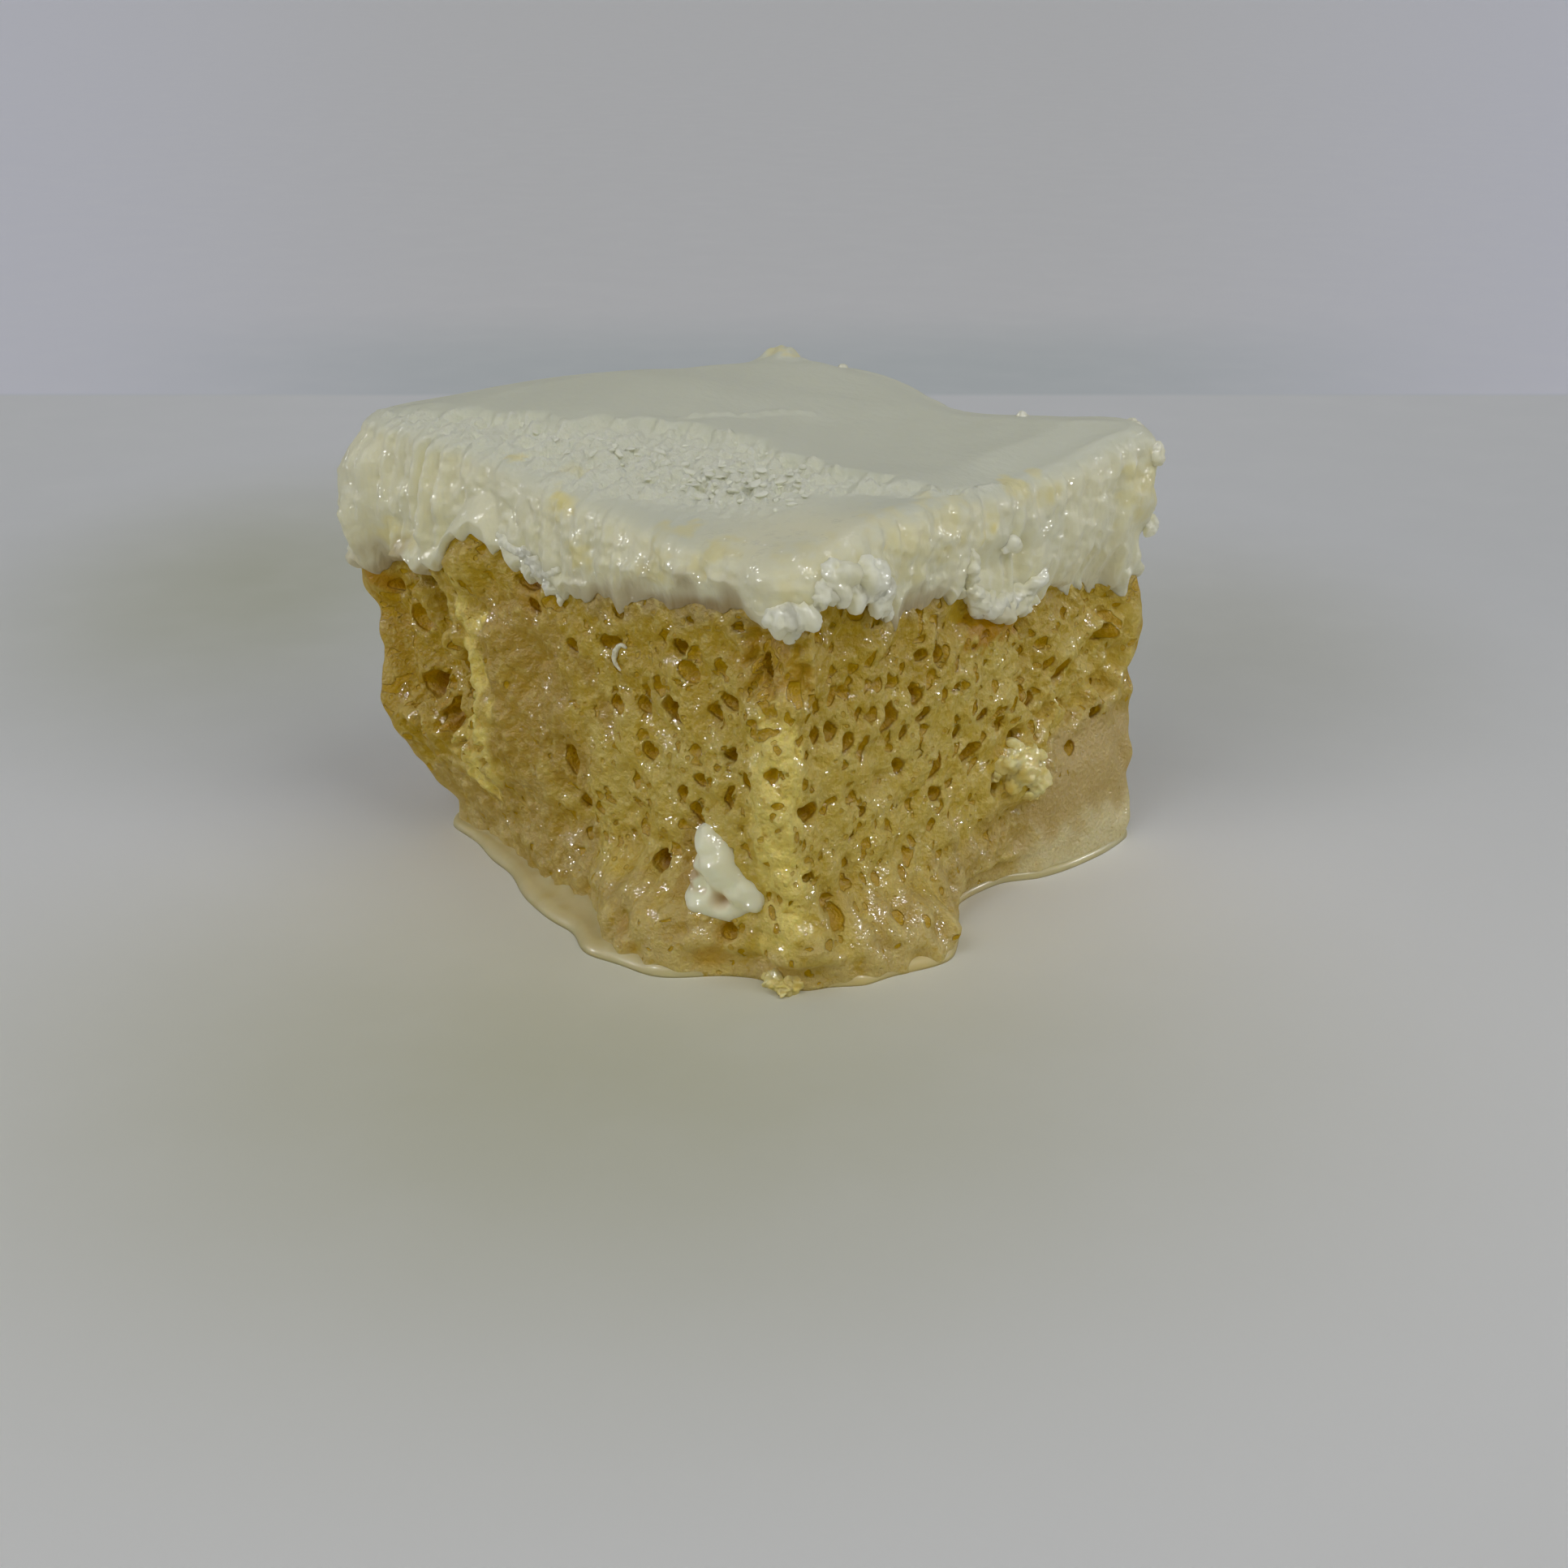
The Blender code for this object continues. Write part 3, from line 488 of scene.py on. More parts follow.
def sponge_wall(u, z):
    """Plan of the sponge's wall at height z: the corners' outline, moved out by swells, tears and relief."""
    kept = np.maximum(z, FOOT)
    table_of_corners = np.array(SPONGE_CORNERS).reshape(len(SPONGE_LEVELS), 8)
    corners = np.stack([np.interp(kept, SPONGE_LEVELS, table_of_corners[:, k]) for k in range(8)], axis=-1)
    plan = outline(corners.reshape(len(u), 4, 2), u, SPONGE_ROUNDING)
    points = np.column_stack([plan, kept])
    out = swells(SPONGE_SWELLS, u, kept) + tears(u, kept, points) + SPONGE_NOTCH_SHARE * notch(u)
    out -= round_curve(FOOT_INSET, u) * smooth_step((FOOT + FOOT_FLARE - z) / FOOT_FLARE)
    fade = smooth_step((kept - FOOT) / RELIEF_FADE) * smooth_step((joint_height(u) - z) / RELIEF_FADE)
    place, half, high, lacking = SMOOTH_FOOT
    fade *= 1.0 - lacking * np.exp(-((along_side(u, place) / half) ** 4) - (z / high) ** 4)
    return plan + outward(u) * (out + ripples(points, SPONGE_RELIEF) * fade)[:, None]


def ring(plan, z):
    """Points of a plan at height z, one number or one for each point."""
    return np.column_stack([plan, np.broadcast_to(z, len(plan))])


def mask_places(places, u, z, noises):
    """The highest of some ovals' masks: each is its strength inside, 0 outside, and its edge is soft."""
    most = np.zeros_like(z)
    for place, height, half_u, half_z, soft, strength, *wobbles in places:
        away = np.hypot(along_side(u, place) / half_u, (z - height) / half_z)
        away += sum(wobble * wave for wobble, wave in zip(wobbles, noises))
        most = np.maximum(most, strength * smooth_step((1.0 - away) / soft + 0.5))
    return most


def turned(ds, dz, turn):
    """A vector's parts across and along an axis that leans by a turn."""
    return ds * np.cos(turn) + dz * np.sin(turn), dz * np.cos(turn) - ds * np.sin(turn)


def cell_pores(s, z, cell, least, most, seed, share, swell):
    """The nearest pore of one size: each square cell of the unrolled wall holds one at a random place.

    Gives the distance from it in its own radii, wobbled and stretched upright, the vector from its middle,
    and its radius. The radius grows from least to most by a random number squared, times swell.
    """
    columns = int(round(ROUND / cell))
    wide = ROUND / columns
    table_of_pores = np.random.default_rng(seed).random((columns, 64, 8))
    i, j = np.floor(s / wide).astype(int), np.floor(z / cell).astype(int)
    best = np.full(s.shape, 9.0)
    away_s, away_z, radius = (np.zeros_like(best) for _ in range(3))
    for di in (-1, 0, 1):
        for dj in (-1, 0, 1):
            pick = table_of_pores[(i + di) % columns, np.clip(j + dj + 2, 0, 63)]
            ds = s - (i + di + 0.5 + 0.75 * (pick[..., 0] - 0.5)) * wide
            dz = z - (j + dj + 0.5 + 0.75 * (pick[..., 1] - 0.5)) * cell
            size = (least + (most - least) * pick[..., 2] ** 2) * swell
            across, up = turned(ds, dz, pick[..., 3] - 0.5)
            across, up = across / (0.97 - 0.12 * pick[..., 6]), up / (1.0 + 0.24 * pick[..., 6])
            angle = np.arctan2(up, across)
            lobes = 0.09 * np.cos(2 * angle + 6.3 * pick[..., 4])
            lobes += 0.09 * np.cos(3 * angle + 6.3 * pick[..., 7])
            away = np.hypot(across, up) / size * (1.0 + lobes)
            away = np.where(pick[..., 5] < share, away, 9.0)
            near = away < best
            best = np.where(near, away, best)
            away_s, away_z = np.where(near, ds, away_s), np.where(near, dz, away_z)
            radius = np.where(near, size, radius)
    return best, away_s, away_z, radius


def own_pore(u, z, place, height, half_wide, half_high, turn, wobble):
    """One chosen pore in the same terms: distance in its radii, the vector from its middle, its radius."""
    ds, dz = along_side(u, place) * SIDE, z - height
    across, up = turned(ds, dz, turn)
    away = np.hypot(across / half_wide, up / half_high) * (1.0 + wobble)
    return away, ds, dz, np.full_like(away, min(half_wide, half_high))


def sink(away, away_s, away_z, radius, depth):
    """Moves the points round a pore: a flat floor, a wall steep above and sloping below, and a soft lip.

    Points are spread outwards from the middle by 1 + 0.45 (1 - (distance / 1.15)^2)^2, so that more of them
    lie on the wall. They go in by the depth times a smooth step that ends at 1.05 radii above the middle and
    1.25 below it, and starts at 0.45 above and 0 below.
    """
    spread = 0.45 * (1.0 - np.clip(away / 1.15, 0.0, 1.0) ** 2) ** 2
    above = smooth_step(away_z / np.maximum(radius, 0.1) + 0.5)
    start, end = 0.45 * above, 1.25 - 0.2 * above
    return away_s * spread, away_z * spread, depth * (1.0 - smooth_step((away - start) / (end - start)))


def averaged(skin, times):
    """A grid of points, each moved so many times to the mean of itself and its neighbours."""
    for _ in range(times):
        skin = (np.roll(skin, 1, axis=1) + np.roll(skin, -1, axis=1) + 2.0 * skin) / 4.0
        skin[1:-1] = (skin[2:] + skin[:-2] + 2.0 * skin[1:-1]) / 4.0
    return skin


def make_mesh(name, points, groups, masks=None):
    """A smooth mesh from points in millimetres, arrays of faces, and masks as point attributes."""
    mesh = bpy.data.meshes.new(name)
    mesh.vertices.add(len(points))
    mesh.vertices.foreach_set("co", (np.asarray(points) * MM).astype(np.float32).ravel())
    corners = np.concatenate([np.asarray(group).ravel() for group in groups]).astype(np.int32)
    sizes = np.concatenate([np.full(len(group), np.shape(group)[1]) for group in groups])
    mesh.loops.add(len(corners))
    mesh.loops.foreach_set("vertex_index", corners)
    mesh.polygons.add(len(sizes))
    mesh.polygons.foreach_set("loop_start", (np.cumsum(sizes) - sizes).astype(np.int32))
    mesh.update(calc_edges=True)
    mesh.shade_smooth()
    for key, values in (masks or {}).items():
        mesh.attributes.new(key, "FLOAT", "POINT").data.foreach_set("value", np.asarray(values, np.float32))
    return mesh


def add_piece(name, mesh, material, slot, *nodes):
    """Puts a mesh in the scene with its material, riding on the cake and standing for the named solids."""
    mesh.materials.append(material)
    piece = bpy.data.objects.new(name, mesh)
    bpy.context.scene.collection.objects.link(piece)
    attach(piece, "root")
    if nodes:
        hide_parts(*nodes)


def ring_quads(rows, n):
    """Quads between successive rings of n points, facing out when the rings climb and turn anticlockwise."""
    k = np.arange(n)
    quad = np.stack([k, (k + 1) % n, (k + 1) % n + n, k + n], axis=-1)
    return (quad[None] + (np.arange(rows - 1) * n)[:, None, None]).reshape(-1, 4)


def fan(first, n, middle, up):
    """Triangles from a middle point to the ring of n points from first, facing up or down."""
    k = np.arange(n)
    start, end = (k, (k + 1) % n) if up else ((k + 1) % n, k)
    return np.stack([np.full(n, middle), first + start, first + end], axis=-1)


u_line = np.concatenate([side + np.arange(n) / n for side, n in enumerate(SPONGE_COLUMNS)])
columns = len(u_line)
u = np.tile(u_line, SPONGE_ROWS)
rise = np.repeat(np.linspace(0.0, 1.0, SPONGE_ROWS), columns)
z = rise * joint_height(u)
base = ring(sponge_wall(u, z), z)
facing = np.column_stack([outward(u), 0.0 * z])
along = np.column_stack([-facing[:, 1], facing[:, 0], 0.0 * z])

# What lies where on the wall, each a share from 0 to 1.
broad, middling, small = ripple(base, 9.0, 41), ripple(base, 3.6, 42), ripple(base, 1.7, 43)
tiny = ripple(base, 0.95, 44, 28)
places = {key: mask_places(rows, u, z, (broad, middling, small)) for key, rows in WALL_PLACES.items()}
lobe, smeared, pale, open_crumb = (places[key] for key in ("lobe", "smeared", "pale", "open"))
outside_hollow = 1.0 - places["hollow"]
joint = joint_height(u)
soak_level = round_curve(SOAK_LINE, u) + 1.6 * broad + 0.9 * middling
soaked = smooth_step((soak_level - z) / SOAK_FADE + 0.5)
torn = -tears(u, z, base) / TEAR_DEEPEST
torn_edge = np.exp(-(((torn - 0.5) / 0.35) ** 2))
turning = at_corners(u)
calm = (1.0 - 0.7 * torn_edge) * (1.0 - 0.8 * turning)
film = smooth_step((z - joint + FILM_START + 0.9 * middling) / FILM_FADE)
film *= np.clip(places["browned"], 0.25, 1.0)
filled = np.clip(0.6 * soaked + 0.75 * smeared + lobe + 0.35 * film, 0.0, 1.0)
ends = smooth_step(z / 3.0) * smooth_step((joint - z) / 1.2)

# The pores: small ones at random in two sizes of cell, and then the chosen ones over them.
warp_s, warp_z = u * SIDE + ripples(base, PORE_WARPS[0]), z + ripples(base, PORE_WARPS[1])
move_s, move_z, move_in = (np.zeros_like(z) for _ in range(3))
pore, deep = np.full_like(z, 2.0), np.zeros_like(z)
size_here = (0.9 + 0.22 * open_crumb + 0.12 * broad - 0.2 * pale) * (1.0 - 0.6 * filled)
depth_here = (0.74 + 0.2 * open_crumb) * (1.0 - 0.5 * filled) * (1.0 - 0.7 * turning) * ends
depth_here *= 0.4 + 0.6 * outside_hollow
for cell, least, most, seed, share in PORE_LAYERS:
    away, away_s, away_z, radius = cell_pores(warp_s, warp_z, cell, least, most, seed, share, size_here)
    move_in = np.maximum(move_in, sink(away, away_s, away_z, radius, depth_here * radius)[2])
    # The pore mask reaches less far below each pore's middle: painted shade under its upper rim, painted
    # light on the lower wall that faces up.
    pore = np.minimum(pore, away + 0.45 * filled + 0.3 * np.maximum(-away_z / np.maximum(radius, 0.1), 0.0))
for place, height, half_wide, half_high, hollow, slant in OWN_PITS:
    wobble = 0.1 * small + 0.08 * middling
    away, away_s, away_z, radius = own_pore(u, z, place, height, half_wide, half_high, slant, wobble)
    ds, dz, d_in = sink(away, away_s, away_z, radius, hollow)
    share = smooth_step((1.35 - away) / 0.3)
    move_s, move_z = ds + (move_s - ds) * (1.0 - share), dz + (move_z - dz) * (1.0 - share)
    move_in = np.maximum(d_in, move_in * (1.0 - 0.75 * share))
    # The same painted shade above and painted light below each chosen pore.
    pore = np.minimum(pore + share, np.minimum(away + 0.25 * np.maximum(-away_z / radius, 0.0), 2.0))
    # The deepest chosen pores get painted shade.
    deep = np.maximum(deep, smooth_step((0.8 - away) / 0.5) * smooth_step((hollow - 1.9) / 1.1))

# The crumb between the pores: waves everywhere, ragged edges round the tears, lumps where it is pale, soaked
# or open, and the slump of its foot.
nubs = 0.5 * np.sqrt(ripple(base, 2.6, 46) ** 2 + 0.1) + 0.2 * np.sqrt(ripple(base, 1.4, 47) ** 2 + 0.1)
crumb = (0.095 - 0.05 * lobe) * middling + (0.075 - 0.025 * open_crumb - 0.045 * lobe) * small
crumb += (0.055 - 0.035 * lobe) * tiny + 0.25 * turning * ripple(base, 5.5, 45)
ragged = (0.4 + 0.6 * pale) * torn_edge * smooth_step(torn * 3.0 + 0.2) + 0.15 * turning
crumb += ragged * (0.4 * middling + 0.15 * small)
crumb += pale * (0.15 + 0.22 * middling + 0.3 * nubs)
crumb += 0.22 * soaked * (1.0 - lobe) * smooth_step(z / 9.0) * nubs
crumb += 0.15 * open_crumb * (nubs - 0.5)
crumb += (0.16 * smooth_step((u - 3.05) / 0.1) + 0.14 * smeared) * (nubs - 0.45)
foot_flow = round_curve(FOOT_FLOW, u)
flow = np.exp(-((np.maximum(z - FOOT_FLOW_LOW, 0.0) / FOOT_FLOW_HEIGHT) ** 1.8)) * (1.0 + 0.08 * middling)
flowed = np.clip(foot_flow / 4.0, 0.0, 1.0) * flow
out = (crumb * ends * (0.5 + 0.5 * outside_hollow) - move_in) * (1.0 - 0.55 * flowed) + foot_flow * flow
points = base + along * (move_s * calm)[:, None] + facing * out[:, None]
points[:, 2] = np.maximum(points[:, 2] + move_z * calm, 0.0)

# The film of milk follows a smoothed skin, and the relief is how far the crumb stands off a smoother one.
skin = averaged(points.reshape(SPONGE_ROWS, columns, 3), FILM_SMOOTHING)
points += (skin.reshape(-1, 3) - points) * turning[:, None]
film_normal = np.cross(np.roll(skin, -1, axis=1) - np.roll(skin, 1, axis=1), np.gradient(skin, axis=0))
film_normal /= np.linalg.norm(film_normal, axis=2, keepdims=True)
relief = ((points - averaged(skin, RELIEF_SMOOTHING).reshape(-1, 3)) * facing).sum(axis=1)
starts, stops = UPPER_SIDES
on_front = 1.0 - smooth_step((u - stops) / 0.2) * smooth_step((starts - u) / 0.2)
upper = 0.8 * smooth_step((z - UPPER_START + 2.0 * broad) / UPPER_FADE) * on_front
starts, stops = BARE_FOOT
bare_foot = smooth_step((stops - u) / 0.1) * smooth_step((u - starts) / 0.1)
masks = {
    "upper": np.maximum(upper, places["upper"]), "soaked": soaked, "smeared": smeared, "pale": pale,
    "lobe": lobe, "film": film, "baked": places["baked"], "crust": places["crust"],
    "pore": pore, "deep": deep, "relief": relief,
    "foot": 0.7 * smooth_step((FOOT_FILM[0] - z + 1.2 * middling) / FOOT_FILM[1]) * (1.0 - bare_foot),
    "creamy": lobe * smooth_step((CREAMY_FOOT[0] - z + 0.8 * middling) / CREAMY_FOOT[1]),
    "flecked": 1.0 - 0.65 * lobe - 0.25 * smeared * (1.0 - lobe),
    "holes": np.clip(0.7 - filled, 0.0, 1.0),
}
rings_total = SPONGE_ROWS * columns
top_ring = ring(points[-columns:, :2] * TOP_SHARE, SPONGE_TOP)
points = np.concatenate([points, top_ring, [points[:columns].mean(axis=0), top_ring.mean(axis=0)]])
groups = [ring_quads(SPONGE_ROWS + 1, columns), fan(0, columns, rings_total + columns, False),
          fan(rings_total, columns, rings_total + columns + 1, True)]
masks = {key: np.concatenate([value, np.zeros(columns + 2)]) for key, value in masks.items()}
sponge_mesh = make_mesh("sponge_crumb", points, groups, masks)
film_normal = np.concatenate([film_normal.reshape(-1, 3), np.tile((0.0, 0.0, 1.0), (columns + 2, 1))])
film_data = sponge_mesh.attributes.new("film_normal", "FLOAT_VECTOR", "POINT").data
film_data.foreach_set("vector", film_normal.astype(np.float32).ravel())

grain = bpy.data.node_groups.new("wet grain", "ShaderNodeTree")
for name, socket in (("Size", "INPUT"), ("Height", "OUTPUT"), ("Mottle", "OUTPUT")):
    grain.interface.new_socket(name, in_out=socket, socket_type="NodeSocketFloat")
entry, leave = grain.nodes.new("NodeGroupInput"), grain.nodes.new("NodeGroupOutput")
place = object_place(grain)
per_size = work_out(grain, "DIVIDE", 1000.0, entry.outputs["Size"])
grain.links.new(noise(grain, place, waves=per_size, detail=3.0), leave.inputs["Height"])
grain.links.new(ramp(grain, noise(grain, place, waves=260.0, detail=4.0), 0.3, 0.7), leave.inputs["Mottle"])

sparkle = bpy.data.node_groups.new("wet sparkle", "ShaderNodeTree")
for name, socket in (("Cover", "INPUT"), ("Weight", "OUTPUT")):
    sparkle.interface.new_socket(name, in_out=socket, socket_type="NodeSocketFloat")
entry, leave = sparkle.nodes.new("NodeGroupInput"), sparkle.nodes.new("NodeGroupOutput")
patches = ramp(sparkle, noise(sparkle, object_place(sparkle), waves=560.0, detail=2.0), 0.55, 0.63)
sparkle.links.new(work_out(sparkle, "MULTIPLY", patches, entry.outputs["Cover"]), leave.inputs["Weight"])


def use_sparkle(tree, shader, cover, normal=None):
    """Small wet patches with fine waves in the coat of milk: cover is their strength, a number or a mask."""
    made = add_node(tree, "ShaderNodeGroup", {"Cover": cover}, node_tree=sparkle)
    if normal is None:
        normal = add_node(tree, "ShaderNodeNewGeometry").outputs["Normal"]
    waves = noise(tree, object_place(tree), waves=2800.0, detail=0.0)
    settings = {"Height": waves, "Distance": 0.26 * MM, "Strength": 1.0, "Normal": normal}
    bump = add_node(tree, "ShaderNodeBump", settings)
    tree.links.new(bump.outputs["Normal"], shader.inputs["Coat Normal"])
    tree.links.new(made.outputs["Weight"], shader.inputs["Coat Weight"])


def use_grain(tree, size):
    """The wet grain group in a material, with bumps of a size in millimetres."""
    return add_node(tree, "ShaderNodeGroup", {"Size": size}, node_tree=grain)


def mask_of(tree, key):
    """A point attribute's value."""
    return add_node(tree, "ShaderNodeAttribute", attribute_name=key).outputs["Fac"]


def lay_on(tree, colour, layers):
    """Lays colours over a colour, each where its mask is 1, from the lowest up."""
    for key, tint in layers:
        colour = mix(tree, mask_of(tree, key), colour, tint)
    return colour


def roughen(tree, shader, height, distance, strength):
    """Feeds a bump of a height in millimetres to the shader."""
    settings = {"Height": height, "Distance": distance * MM, "Strength": strength}
    tree.links.new(add_node(tree, "ShaderNodeBump", settings).outputs["Normal"], shader.inputs["Normal"])


def make_wet(shader, roughness, coat, coat_roughness, spread, reach):
    """A wet, slightly see-through food: a coat of milk, and a share of the light that spreads inside it."""
    shader.inputs["Roughness"].default_value = roughness
    shader.inputs["Specular IOR Level"].default_value = 0.06
    shader.inputs["Coat Weight"].default_value = coat
    shader.inputs["Coat Roughness"].default_value = coat_roughness
    shader.inputs["Subsurface Weight"].default_value = spread
    shader.inputs["Subsurface Radius"].default_value = reach
    shader.inputs["Subsurface Scale"].default_value = MM


sponge_look, tree, shader = new_material("soaked sponge")
texture = use_grain(tree, 0.5)
place = object_place(tree)
bent = add_node(tree, "ShaderNodeTexNoise", {"Vector": place, "Scale": 700.0, "Detail": 1.0})
bent = work_out_vector(tree, "MULTIPLY_ADD", bent.outputs["Color"], (0.7 * MM,) * 3, place)
# Holes too small for the mesh: a bump, and the pit colour painted in as their shade.
cells = add_node(tree, "ShaderNodeTexVoronoi", {"Vector": bent, "Scale": 1000.0 / SMALL_HOLES})
pick = add_node(tree, "ShaderNodeSeparateColor", {0: cells.outputs["Color"]}).outputs[0]
pick = work_out(tree, "MULTIPLY", ramp(tree, pick, 0.45, 0.55), mask_of(tree, "holes"))
hole_and_shade = work_out(tree, "MULTIPLY", ramp(tree, cells.outputs["Distance"], 0.27, 0.2), pick)
colour = mix(tree, texture.outputs["Mottle"], SPONGE_GREY_CRUMB, SPONGE_CRUMB)
colour = lay_on(tree, colour, SPONGE_LAYERS)
fleck = noise(tree, place, waves=1000.0, detail=4.0)
relief, flecked = mask_of(tree, "relief"), mask_of(tree, "flecked")
# Painted shade and light: hollows of the relief painted darker, ridges paler where they also stand for a
# thicker milk film.
for value, low, high, most, tint in (  # hollows darker and ridges paler, and pale and dark flecks on both
    (relief, 0.05, -0.45, 0.35, SPONGE_DARK_FLECK_AND_HOLLOW_SHADE), (relief, 0.05, 0.45, 0.25, SPONGE_PALE_FLECK_AND_RIDGE_LIGHT),
    (fleck, 0.52, 0.72, 0.5, SPONGE_PALE_FLECK_AND_RIDGE_LIGHT), (fleck, 0.47, 0.28, 0.55, SPONGE_DARK_FLECK_AND_HOLLOW_SHADE),
):
    share = work_out(tree, "MULTIPLY", ramp(tree, value, low, high), most)
    colour = mix(tree, work_out(tree, "MULTIPLY", share, flecked), colour, tint)
# Pit colour: the crumb's own inner colour, and painted shade in the holes and the upper parts of the pores.
pit_and_shade = ramp(tree, mask_of(tree, "pore"), 1.04, 0.86)
colour = mix(tree, pit_and_shade, mix(tree, hole_and_shade, colour, SPONGE_PIT_AND_SHADE), SPONGE_PIT_AND_SHADE)
tree.links.new(lay_on(tree, colour, SPONGE_TOP_LAYERS), shader.inputs["Base Color"])
hole_and_shade = work_out(tree, "MAXIMUM", hole_and_shade, pit_and_shade)
height = work_out(tree, "MULTIPLY_ADD", hole_and_shade, -0.8, texture.outputs["Height"])
roughen(tree, shader, height, distance=0.38, strength=1.0)
film = add_node(tree, "ShaderNodeAttribute", attribute_name="film_normal").outputs["Vector"]
drier = pit_and_shade
for key in ("crust", "foot", "baked", "lobe"):
    drier = work_out(tree, "MAXIMUM", drier, mask_of(tree, key))
use_sparkle(tree, shader, work_out(tree, "MULTIPLY_ADD", drier, -0.38, 0.42), film)
make_wet(shader, roughness=0.6, coat=0.6, coat_roughness=0.14, spread=0.28, reach=(1.2, 0.8, 0.22))
add_piece("sponge_crumb", sponge_mesh, sponge_look, "sponge", "sponge")


# The frosting: whipped frosting spread on the sponge, scraped flat on top and dragged by the knife down its
# sides. One closed skin: a seat inside the sponge, a ragged lip that hugs the crumb, combed walls, a rounded
# upper edge, and a spread top that is a Coons patch over the ring of that edge.
FROSTING_RIM_CORNERS = ((31.4, -31.4), (32.2, 30.4), (-28.6, 33.0), (-35.8, -30.0))
FROSTING_LOW_CORNERS = ((31.8, -31.8), (31.8, 31.2), (-29.8, 33.4), (-38.8, -32.2))
FROSTING_ROUNDING = 3.0
FROSTING_COLUMNS = 212  # along each side
FROSTING_ROWS = 46
FROSTING_OUT = 0.5
FROSTING_BELLY = 0.8
FROSTING_TOP_EDGE = (  # u and height
    (0.0, 47.6), (0.17, 48.8), (0.35, 49.3), (0.6, 49.0), (0.8, 50.0), (1.0, 51.8), (1.17, 51.2),
    (1.35, 50.8), (1.5, 51.2), (1.75, 52.2), (2.0, 51.2), (2.2, 52.0), (2.4, 53.2), (2.65, 53.8),
    (3.0, 53.0), (3.36, 51.3), (3.54, 49.5), (3.72, 48.0), (3.89, 47.5),
)
FROSTING_SWELLS = (  # u, height, half width, half height, depth
    (0.12, 42.8, 0.04, 2.6, 1.7),
    (0.2, 42.0, 0.035, 3.0, 1.5),
    (0.55, 36.5, 0.07, 3.2, 1.0),
    (3.0, 45.0, 0.12, 7.0, 1.4),
    (1.0, 46.0, 0.1, 6.0, 1.2),
    (3.33, 44.0, 0.05, 3.0, -1.2),
)
SMEAR_HOLLOW = (0.545, 39.2, 0.085, 3.4, -1.5)  # inside the bowl-shaped smear on the +X side
FROSTING_MARKS = ((5.0, 0.2, 64), (2.4, 0.1, 65), (1.2, 0.06, 66))  # wavelength, height and seed
KNIFE_MARKS = (  # u, half width as a share of a side, spacing, depth: above 0 the ridges are the round part
    (3.15, 0.17, 1.7, 0.5),
    (3.13, 0.2, 3.4, 0.4),
    (3.62, 0.23, 1.2, 0.32),
    (0.83, 0.19, 1.8, 0.32),
    (0.8, 0.2, 3.7, 0.35),
    (0.29, 0.1, 1.5, -0.4),
    (0.55, 0.09, 1.3, -0.35),
    (3.86, 0.1, 1.5, 0.15),
    (1.5, 0.42, 2.4, 0.5),
    (2.5, 0.46, 2.1, 0.5),
)
SHOULDER = 2.3  # radius of the rounded upper edge
WIDE_SHOULDER = (3.86, 0.42, 2.6)  # u, half width and how much wider the upper edge is rounded there
SHOULDER_STEPS = 8
FROSTING_HALF = 33.0  # the upper edge is drawn in towards the middle as a share of this
LIP_WIDTH = 1.5
LIP_LEAN = 0.7
LIP_SINK = 0.9  # how far inside the crumb the lip's hidden side lies
LIP_ROUND = 1.1
SMEARS = ((3.75, 0.23), (0.29, 0.1), (0.86, 0.12), (3.36, 0.03))  # u and half width where the lip thins out
THIN_EDGES = (  # u, half width, strength: where the crumb's brown shows through the thin lower edge
    (3.12, 0.1, 0.75), (3.66, 0.1, 0.7), (3.84, 0.1, 1.0), (0.29, 0.1, 0.85), (0.53, 0.06, 0.35),
    (0.83, 0.1, 0.2),
)
THIN_HEIGHT = 2.0  # how far up the brown shows through
DRIPS = (  # u, length, half width as a share of a side: tongues that hang below the lower edge
    (0.263, 2.6, 0.012), (0.235, 1.0, 0.02), (0.335, 0.9, 0.012), (0.41, 0.8, 0.01), (0.80, 1.2, 0.008),
    (0.83, 0.9, 0.007), (0.875, 1.9, 0.007), (0.93, 1.1, 0.008), (3.055, 0.9, 0.012), (3.19, 1.2, 0.02),
    (3.385, 1.0, 0.012), (3.435, 1.5, 0.01), (3.47, 1.1, 0.008), (3.54, 1.3, 0.012), (3.585, 0.7, 0.01),
    (3.66, 0.9, 0.015), (3.80, 0.8, 0.02), (3.94, 1.2, 0.014), (1.2, 1.4, 0.012), (1.45, 1.8, 0.016),
    (1.62, 1.0, 0.01), (1.88, 1.5, 0.013), (2.2, 1.2, 0.012), (2.45, 1.7, 0.015), (2.66, 1.0, 0.01),
    (2.86, 1.6, 0.013),
)
SCRAPE_LINE = (  # x and y of the far edge of the scraped band on the top
    (-36.0, -29.0), (-28.6, -28.3), (-22.9, -23.3), (-12.7, -20.0), (-8.6, -13.8), (-2.9, -10.3),
    (2.5, -9.2), (13.0, -7.3), (20.4, -7.5), (29.0, -4.2), (31.5, 6.0), (36.0, 18.0),
)
SCRAPE_STEP = 1.1  # how much lower the scraped band is
SCRAPE_RELIEF = (  # wavelength, seed, height where it is scraped and where it is flaky
    (3.0, 85, 0.16, 0.12), (1.7, 86, 0.12, 0.14), (1.0, 87, 0.06, 0.08),
)
SCRAPE_REACH = ((-36.0, 30.0), (-5.0, 30.0), (8.0, 20.0), (20.0, 11.0), (30.0, 6.0))  # x, width of the band
